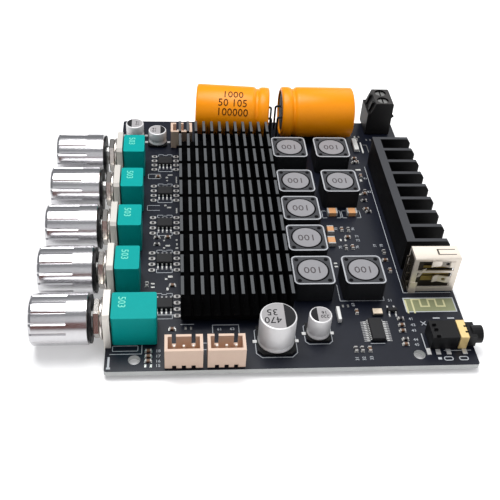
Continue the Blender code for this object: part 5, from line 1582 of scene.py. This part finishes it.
@dataclass
class DataSocket(SubAssembly):
    """The folded metal data socket, whose near side shows two springs in open windows."""

    low: Triple = (86.1, 27.5, 0.3)
    high: Triple = (99.5, 33.2, 13.4)
    wall: float = 0.4
    windows: tuple[tuple[Pair, Pair], ...] = (((87.4, 8.6), (98.0, 12.3)),
                                              ((87.6, 2.3), (97.8, 7.9)))
    spring_ends: tuple[Pair, ...] = ((91.4, 10.9), (92.6, 5.0))
    spring_bends: tuple[Pair, ...] = ((-0.2, 0.2), (1.2, 0.25), (3.6, 0.9))
    spring_tip: float = 0.5
    spring_width: float = 2.3
    dimple: float = 0.55
    contacts: tuple[Pair, ...] = ((3.9, 5.6), (6.2, 7.8), (8.8, 9.6))
    top_slots: tuple[tuple[Pair, Pair], ...] = (
        ((93.2, -1.2), (98.4, -0.95)), ((93.2, 0.95), (98.4, 1.2)), ((93.0, -1.2), (93.5, 1.2)))
    side_slots: tuple[float, ...] = (1.4, 4.8, 8.2)
    slot_height: float = 2.2
    side_slot_inset: float = 1.0
    contact_sides: Pair = (88.3, 97.4)
    contact_depths: Pair = (1.2, 1.5)
    back_low: Triple = (0.5, 1.8, 0.6)
    back_right: float = 98.4
    back_thickness: float = 0.4
    tab_path: tuple[Triple, ...] = ((89.6, 0.1, 9.3), (88.9, 0.3, 8.0), (88.0, 0.1, 6.3))
    tab_across: Triple = (0.9, 0.0, 0.3)
    dimple_inset: float = 2.0
    foot_low: Triple = (86.2, -0.15, -0.2)
    foot_high: Triple = (88.3, 0.05, 4.2)

    def build(self) -> None:
        """Model the shell with its windows, the springs, and what shows behind them."""
        low, high, wall = Vector(self.low), Vector(self.high), self.wall
        shell = Bench.box("data_socket_shell", low, high)
        Bench.round_edges(shell, 0.5, 3, lambda edge: abs(
            (edge.verts[0].co - edge.verts[1].co).x) > MM)
        Bench.cut(shell, Bench.box("hollow", (low.x + wall, low.y + wall, low.z + wall),
                                   (high.x + 1.0, high.y - wall, high.z - wall)))
        for (left, bottom), (right, top) in self.windows:
            Bench.cut(shell, Bench.box("window", (left, low.y - 1.0, bottom),
                                       (right, low.y + 1.0, top)))
        shell = Bench.smooth(shell, 30.0)
        deliver(shell, Palette.socket, "socket_plating", stands_for=["usb_shell"])
        self.build_springs(low.y)
        self.build_inside(low, high)

    def build_springs(self, face: float) -> None:
        """Model both springs, each with a round dimple, and the tab beside them.

        Args:
            face: Y of the socket's near side, in board millimetres.
        """
        springs = []
        for (tip, level), ((_, _), (root, _)) in zip(self.spring_ends, self.windows):
            path = [(root - step, face + behind, level) for step, behind in self.spring_bends]
            path.append((tip, face + self.spring_tip, level))
            spring = Bench.ribbon("spring", path, (0.0, 0.0, self.spring_width), 0.3)
            Bench.cut(spring, Bench.turned("dimple", (root - self.dimple_inset, face, level), (
                (-0.01, self.dimple), (3.0, self.dimple)), Axis.FAR, 20))
            springs.append(spring)
        front = Vector((0.0, face, 0.0))
        tab_path = [front + Vector(point) for point in self.tab_path]
        springs.append(Bench.ribbon("tab", tab_path, self.tab_across, 0.25))
        springs.append(Bench.box("foot", front + Vector(self.foot_low),
                                 front + Vector(self.foot_high), 0.05, 1))
        deliver(Bench.join("data_socket_springs", springs), Palette.socket)

    def build_inside(self, low: Vector, high: Vector) -> None:
        """Model the contacts, the shadowed metal behind them, and the slots in the top and the left
        side as dark strips of painted shade.

        Args:
            low: The shell's lowest corner, in board millimetres.
            high: The shell's highest corner.
        """
        (left, right), (near, far) = self.contact_sides, self.contact_depths
        contacts = [Bench.box("contact", (left, low.y + near, bottom), (right, low.y + far, top))
                    for bottom, top in self.contacts]
        deliver(Bench.join("data_socket_contacts", contacts), Palette.olive_metal)
        start = low + Vector(self.back_low)
        back = Bench.box("data_socket_back", start, (
            self.back_right, start.y + self.back_thickness, high.z - self.back_low[2]))
        deliver(back, Palette.dark_metal)
        # The slots in the top and the left side are dark strips: painted shade.
        middle = (low.y + high.y) / 2.0
        slots = [Bench.box("slot", (left, middle + near, high.z - MARK_LIFT),
                           (right, middle + far, high.z + MARK_SINK))
                 for (left, near), (right, far) in self.top_slots]
        inset = self.side_slot_inset
        slots += [Bench.box("slot", (low.x - MARK_SINK, low.y + inset, bottom),
                            (low.x + MARK_LIFT, high.y - inset, bottom + self.slot_height))
                  for bottom in self.side_slots]
        deliver(Bench.join("data_socket_slots", slots), Palette.dark_metal)

    def dress(self) -> None:
        """Finish the insulator, which is in the shell's shadow."""
        dress(["usb_insulator"], Palette.dark_metal)


@dataclass
class RoundSocket(SubAssembly):
    """The round audio socket with its band, its solder tabs and the marks around it."""

    recesses: tuple[Pair, ...] = ((88.7, 10.1), (88.9, 8.4), (89.0, 5.9))
    recess_half: Pair = (0.55, 0.35)
    notches: tuple[Pair, ...] = ((97.325, 9.6), (97.325, 7.5))
    notch_half: Pair = (0.475, 0.3)
    tab_spots: tuple[Pair, ...] = ((89.5, 4.3), (92.4, 4.3), (96.9, 4.3))
    strokes: tuple[tuple[Pair, Pair], ...] = (
        ((86.3, 5.6), (86.55, 11.4)), ((91.2, 5.0), (98.9, 5.2)), ((91.2, 17.0), (93.2, 17.4)),
        ((95.4, 16.9), (97.4, 17.3)), ((89.0, 2.0), (90.0, 2.8)))
    arcs: tuple[Pair, ...] = ((91.9, 2.3), (96.1, 2.3))
    tab_reach: Triple = (0.65, 0.65, 1.2)
    tab_height: float = 0.28
    tab_bevel: float = 0.05
    side_tab: tuple[Triple, Triple] = ((86.3, 3.6, 0.0), (87.5, 5.9, 0.3))
    arc_half: Pair = (1.3, 0.7)
    arc_corner: float = 0.6
    arc_width: float = 0.25
    cross_radius: float = 0.14
    cross_length: float = 2.0
    cross: Triple = (88.0, 15.2, 0.015)
    cross_turns: Pair = (0.8, -0.8)

    def build(self) -> None:
        """Model the tabs and the board marks, and paint the recesses and the band's notches
        near-black: painted shade.
        """
        # The recesses and notches are flat near-black boxes: painted shade.
        dark = []
        for node, spots, (wide, deep) in (("jack_body", self.recesses, self.recess_half),
                                          ("jack_band", self.notches, self.notch_half)):
            top = node_box(node)[1].z
            dark += [Bench.box("recess", (x - wide, y - deep, top - MARK_SINK),
                               (x + wide, y + deep, top + MARK_LIFT)) for x, y in spots]
        deliver(Bench.join("round_socket_recesses", dark), Palette.hollow)
        wide, near, far = self.tab_reach
        tabs = [Bench.box("tab", (x - wide, y - near, 0.0), (x + wide, y + far, self.tab_height),
                          self.tab_bevel, 1) for x, y in self.tab_spots]
        tabs.append(Bench.box("tab", *self.side_tab, self.tab_bevel, 1))
        deliver(Bench.join("round_socket_tabs", tabs), Palette.lead)
        marks = [Bench.flat("stroke", low, high, PRINT_HEIGHT) for low, high in self.strokes]
        marks += [Bench.rod("cross", self.cross, self.cross_radius, self.cross_length, Axis.LEFT,
                            8, turn) for turn in self.cross_turns]
        wide, deep = self.arc_half
        marks += [Bench.ring_mark("arc", (x - wide, y - deep), (x + wide, y + deep),
                                  self.arc_corner, self.arc_width) for x, y in self.arcs]
        deliver(Bench.join("round_socket_marks", marks), Palette.ink)

    def dress(self) -> None:
        """Finish the body and the band."""
        dress(["jack_body"], Palette.black)
        dress(["jack_band"], Palette.gold)


class TerminalBlock(SubAssembly):
    """The screw terminal block at the far right corner."""

    def dress(self) -> None:
        """Finish the block, its clamps and its screws."""
        dress(["terminal_block"], Palette.block)
        dress(["terminal_clamp_1", "terminal_clamp_2"], Palette.brass)
        dress(["terminal_screw_1", "terminal_screw_2"], Palette.screw)


@dataclass
class Prints(SubAssembly):
    """Plain numbers and small outlines that are printed on the board."""

    numbers: tuple[tuple[str, float, float, float], ...] = (
        ("41", 84.8, 17.0, 0.0), ("42", 84.9, 14.7, 0.0), ("43", 84.7, 12.6, 0.0),
        ("44", 84.4, 9.2, 0.0), ("45", 84.3, 7.4, 0.0), ("18", 13.9, 6.8, 0.0),
        ("17", 13.9, 5.0, 0.0), ("16", 13.9, 3.3, 0.0), ("15", 13.9, 1.8, 0.0),
        ("71", 75.6, 52.7, 0.0), ("72", 75.6, 50.8, 0.0), ("73", 69.5, 56.4, 90.0),
        ("74", 75.0, 56.3, 90.0), ("75", 69.6, 47.7, 90.0), ("76", 74.9, 47.7, 90.0),
        ("77", 80.6, 48.3, 90.0), ("78", 82.6, 48.3, 90.0), ("31", 66.9, 2.9, 90.0),
        ("32", 68.8, 2.9, 90.0), ("33", 70.9, 3.0, 90.0), ("81", 84.0, 83.1, 0.0),
        ("82", 83.9, 75.6, 0.0), ("51", 80.3, 24.4, 0.0), ("61", 30.5, 14.2, 0.0),
        ("62", 34.0, 14.3, 0.0), ("63", 69.2, 22.9, 90.0))
    number_size: float = 0.95
    chip_x: float = 15.35
    bracket_half: float = 2.3
    bracket_near: float = 5.1
    bracket_far: float = 4.8
    bracket_side: float = 1.5
    outline_strokes: int = 8
    bracket_end: float = 1.0
    dip: float = 0.7
    dip_depth: float = 0.45
    control_chip_line: tuple[Pair, Pair] = ((71.6, 8.1), (75.5, 8.1))
    loop_below: Pair = (6.6, 9.1)
    loop_left: Pair = (5.6, 1.7)
    ceramic_sides: tuple[tuple[float, float], ...] = (
        (66.1, 67.4), (72.1, 70.8), (72.6, 73.9), (78.6, 77.3))
    ceramic_ends: Pair = (61.9, 65.4)
    line: float = 0.16

    def build(self) -> None:
        """Print the numbers, the chips' outlines, and the lines between the chips."""
        texts = [Bench.digits("number", text, (x, y, PRINT_HEIGHT / 2.0), self.number_size, turn)
                 for text, x, y, turn in self.numbers]
        deliver(Bench.join("board_numbers", texts), Palette.ink)
        strokes = self.chip_outline(ChipParts.rows[0])
        for row in ChipParts.rows[1:]:
            step = place(0.0, row) - place(0.0, ChipParts.rows[0])
            strokes += [Bench.copy(piece, "stroke", Matrix.Translation(step))
                        for piece in strokes[:self.outline_strokes]]
        pairs = [self.control_chip_line]
        left, right = (self.chip_x - reach for reach in self.loop_left)
        for row in ChipParts.rows[3:]:
            upper, lower = (row - below for below in self.loop_below)
            pairs += [((left, upper), (right, upper)), ((left, lower), (right, lower)),
                      ((left, lower), (left, upper))]
        near, far = self.ceramic_ends
        for side, inner in self.ceramic_sides:
            pairs += [((side, near), (side, far)), ((side, near), (inner, near)),
                      ((side, far), (inner, far))]
        strokes += [Bench.stroke(start, stop, self.line) for start, stop in pairs]
        deliver(Bench.join("chip_outlines", strokes), Palette.ink)

    def chip_outline(self, row: float) -> list[bpy.types.Object]:
        """Print the outline at both long sides of a small chip.

        Args:
            row: Y of the chip's middle, in board millimetres.

        Returns:
            Its strokes.
        """
        left, right = self.chip_x - self.bracket_half, self.chip_x + self.bracket_half
        near, far = row - self.bracket_near, row + self.bracket_far
        pairs = (((left, near), (right, near)), ((left, near), (left, near + self.bracket_side)),
                 ((right, near), (right, near + self.bracket_side)),
                 ((left, far), (self.chip_x - self.dip, far)),
                 ((self.chip_x + self.dip, far), (right, far)),
                 ((self.chip_x - self.dip, far - self.dip_depth),
                  (self.chip_x + self.dip, far - self.dip_depth)),
                 ((left, far - self.bracket_end), (left, far)),
                 ((right, far - self.bracket_end), (right, far)))
        return [Bench.stroke(start, stop, self.line) for start, stop in pairs]


class Heatsinks(SubAssembly):
    """Both heatsinks and the two chips that are under the large one."""

    def dress(self) -> None:
        """Finish them; their tops are painted paler than their black sides, a painted highlight."""
        dress(["main_heatsink"], Palette.sink)
        dress(["side_heatsink"], Palette.side_sink)
        dress(["amplifier_chip_1", "amplifier_chip_2"], Palette.chip)


@dataclass(frozen=True)
class AreaLight:
    """One soft lamp that points at the board's middle."""

    name: str
    spot: Triple
    size: float
    watts: float
    colour: Triple = (1.0, 1.0, 1.0)

    def build(self, aim: Vector) -> None:
        """Hang the lamp.

        Args:
            aim: The point that it faces, in metres.
        """
        lamp = bpy.data.lights.new(self.name, "AREA")
        lamp.shape, lamp.size = "SQUARE", self.size
        lamp.energy, lamp.color = self.watts, self.colour
        holder = bpy.data.objects.new(self.name, lamp)
        holder.location = place(*self.spot)
        holder.rotation_euler = (aim - holder.location).to_track_quat("-Z", "Y").to_euler()
        bpy.context.scene.collection.objects.link(holder)


@dataclass(frozen=True)
class Card:
    """A square card that hangs outside the picture, where the chrome mirrors it."""

    name: str
    spot: Triple
    size: float
    tilt: float
    finish: Finish

    def build(self) -> None:
        """Hang the card."""
        Bench.start()
        bpy.ops.mesh.primitive_plane_add(size=self.size, location=place(*self.spot),
                                         rotation=(math.radians(self.tilt), 0.0, 0.0))
        card = Bench.settle(self.name)
        card.data.materials.append(self.finish.build())


@dataclass
class Studio:
    """The camera, the pale floor, the soft lamps and two cards that the chrome mirrors."""

    spot: Triple = (18.622, -131.991, 160.385)
    aim: Triple = (41.302, 46.630, 0.0)
    roll: float = math.radians(4.457)
    lens: float = 56.84
    sensor: float = 36.0
    middle: Pair = (50.0, 59.0)
    floor_size: float = 6.0
    sky: Triple = (0.93, 0.95, 1.0)
    sky_strength: float = 0.3
    lamps: tuple[AreaLight, ...] = (
        AreaLight("key_lamp", (-20.0, 150.0, 430.0), 0.3, 2.2),
        AreaLight("fill_lamp", (330.0, -160.0, 360.0), 0.4, 0.28),
        AreaLight("back_lamp", (360.0, 470.0, 330.0), 0.4, 0.6))
    cards: tuple[Card, ...] = (
        Card("warm_card", (-60.0, -165.0, 60.0), 0.1, 62.0, Palette.card),
        Card("pale_card", (-40.0, -420.0, 330.0), 0.42, 50.0, Palette.pale_card))

    def build(self) -> None:
        """Set up everything around the board."""
        self.build_camera()
        self.build_world()
        middle = place(*self.middle)
        for lamp in self.lamps:
            lamp.build(middle)
        Bench.start()
        bpy.ops.mesh.primitive_plane_add(size=self.floor_size,
                                         location=(middle.x, middle.y, CAD_BOX[0].z))
        floor = Bench.settle("studio_floor")
        floor.data.materials.append(Palette.floor.build())
        for card in self.cards:
            card.build()

    def build_camera(self) -> None:
        """Place the camera where the photograph was taken from."""
        data = bpy.data.cameras.new("camera")
        data.lens, data.sensor_width = self.lens, self.sensor
        data.clip_start, data.clip_end = 0.01, 20.0
        camera = bpy.data.objects.new("camera", data)
        spot, aim = place(*self.spot), place(*self.aim)
        camera.location = spot
        camera.rotation_mode = "QUATERNION"
        look = (aim - spot).to_track_quat("-Z", "Y")
        camera.rotation_quaternion = look @ Matrix.Rotation(self.roll, 4, "Z").to_quaternion()
        bpy.context.scene.collection.objects.link(camera)
        bpy.context.scene.camera = camera

    def build_world(self) -> None:
        """Light the room evenly from all sides."""
        world = bpy.data.worlds.new("studio_room")
        world.use_nodes = True
        room = world.node_tree.nodes["Background"]
        room.inputs["Color"].default_value = (*self.sky, 1.0)
        room.inputs["Strength"].default_value = self.sky_strength
        bpy.context.scene.world = world
        bpy.context.scene.view_settings.view_transform = "Standard"


def sub_assemblies() -> list[SubAssembly]:
    """List every group of the board, in the order in which they are made.

    Returns:
        The groups.
    """
    groups: list[SubAssembly] = [Laminate(), ChipParts(), LooseParts(), Heatsinks(),
                                 DataSocket(), RoundSocket(), TerminalBlock(), Crystal(), Prints()]
    rows = ChipParts.rows
    groups.append(Repeated(LeadedChip("preamp_chip_1", (Prints.chip_x, rows[0])), {
        index + 1: Vector((0.0, row - rows[0], 0.0)) for index, row in enumerate(rows) if index}))
    groups.append(LeadedChip("regulator", (79.9, 20.14), size=(2.9, 1.3, 1.1), lead_count=2,
                             pitch=1.9, lead_width=0.4, pad_reach=1.6))
    groups.append(LeadedChip("control_chip_body", (73.9, 12.5), size=(3.9, 7.8, 1.5),
                             lead_count=12, pitch=0.635, lead_width=0.3, leads_along_x=False,
                             stands_for=("control_chip",), pad_reach=1.95, pad_width=0.36))
    groups += [Repeated(KnobCap(), node_steps("knob_cap", range(2, 6))),
               Repeated(FrontPlate(), node_steps("bushing_plate", range(2, 6))),
               LyingCapacitor(1, text=("1000", "50 105", "100000")),
               LyingCapacitor(2, (69.127, 110.6, 9.2), yaw=0.0, seal_side=Axis.LEFT),
               UprightCapacitor(1),
               UprightCapacitor(2, segment_share=0.27, segment_side=-1, text=("220", "16"),
                                text_size=1.1),
               UprightCapacitor(3, segment_side=-1, text=("10", "16"), text_size=1.1,
                                outline=False),
               UprightCapacitor(4, text=("10", "16"), text_size=1.1, outline=False),
               Repeated(PowerInductor(), node_steps("power_inductor", range(2, 9))),
               Repeated(Header(1, (2,)), node_steps("pin_header", (2,))), Header(3, pin_count=2)]
    return groups


def main() -> None:
    """Build the studio and the board's looks."""
    logging.basicConfig(level=logging.INFO, format="%(name)s: %(message)s")
    Studio().build()
    groups = sub_assemblies()
    for group in groups:
        before = len(DELIVERED)
        group.build()
        group.dress()
        for item in DELIVERED[before:]:
            LOG.info("%s rides on %s", item.piece.name, item.body)
    LOG.info("%d groups, %d pieces", len(groups), len(DELIVERED))


if __name__ == "__main__":
    main()
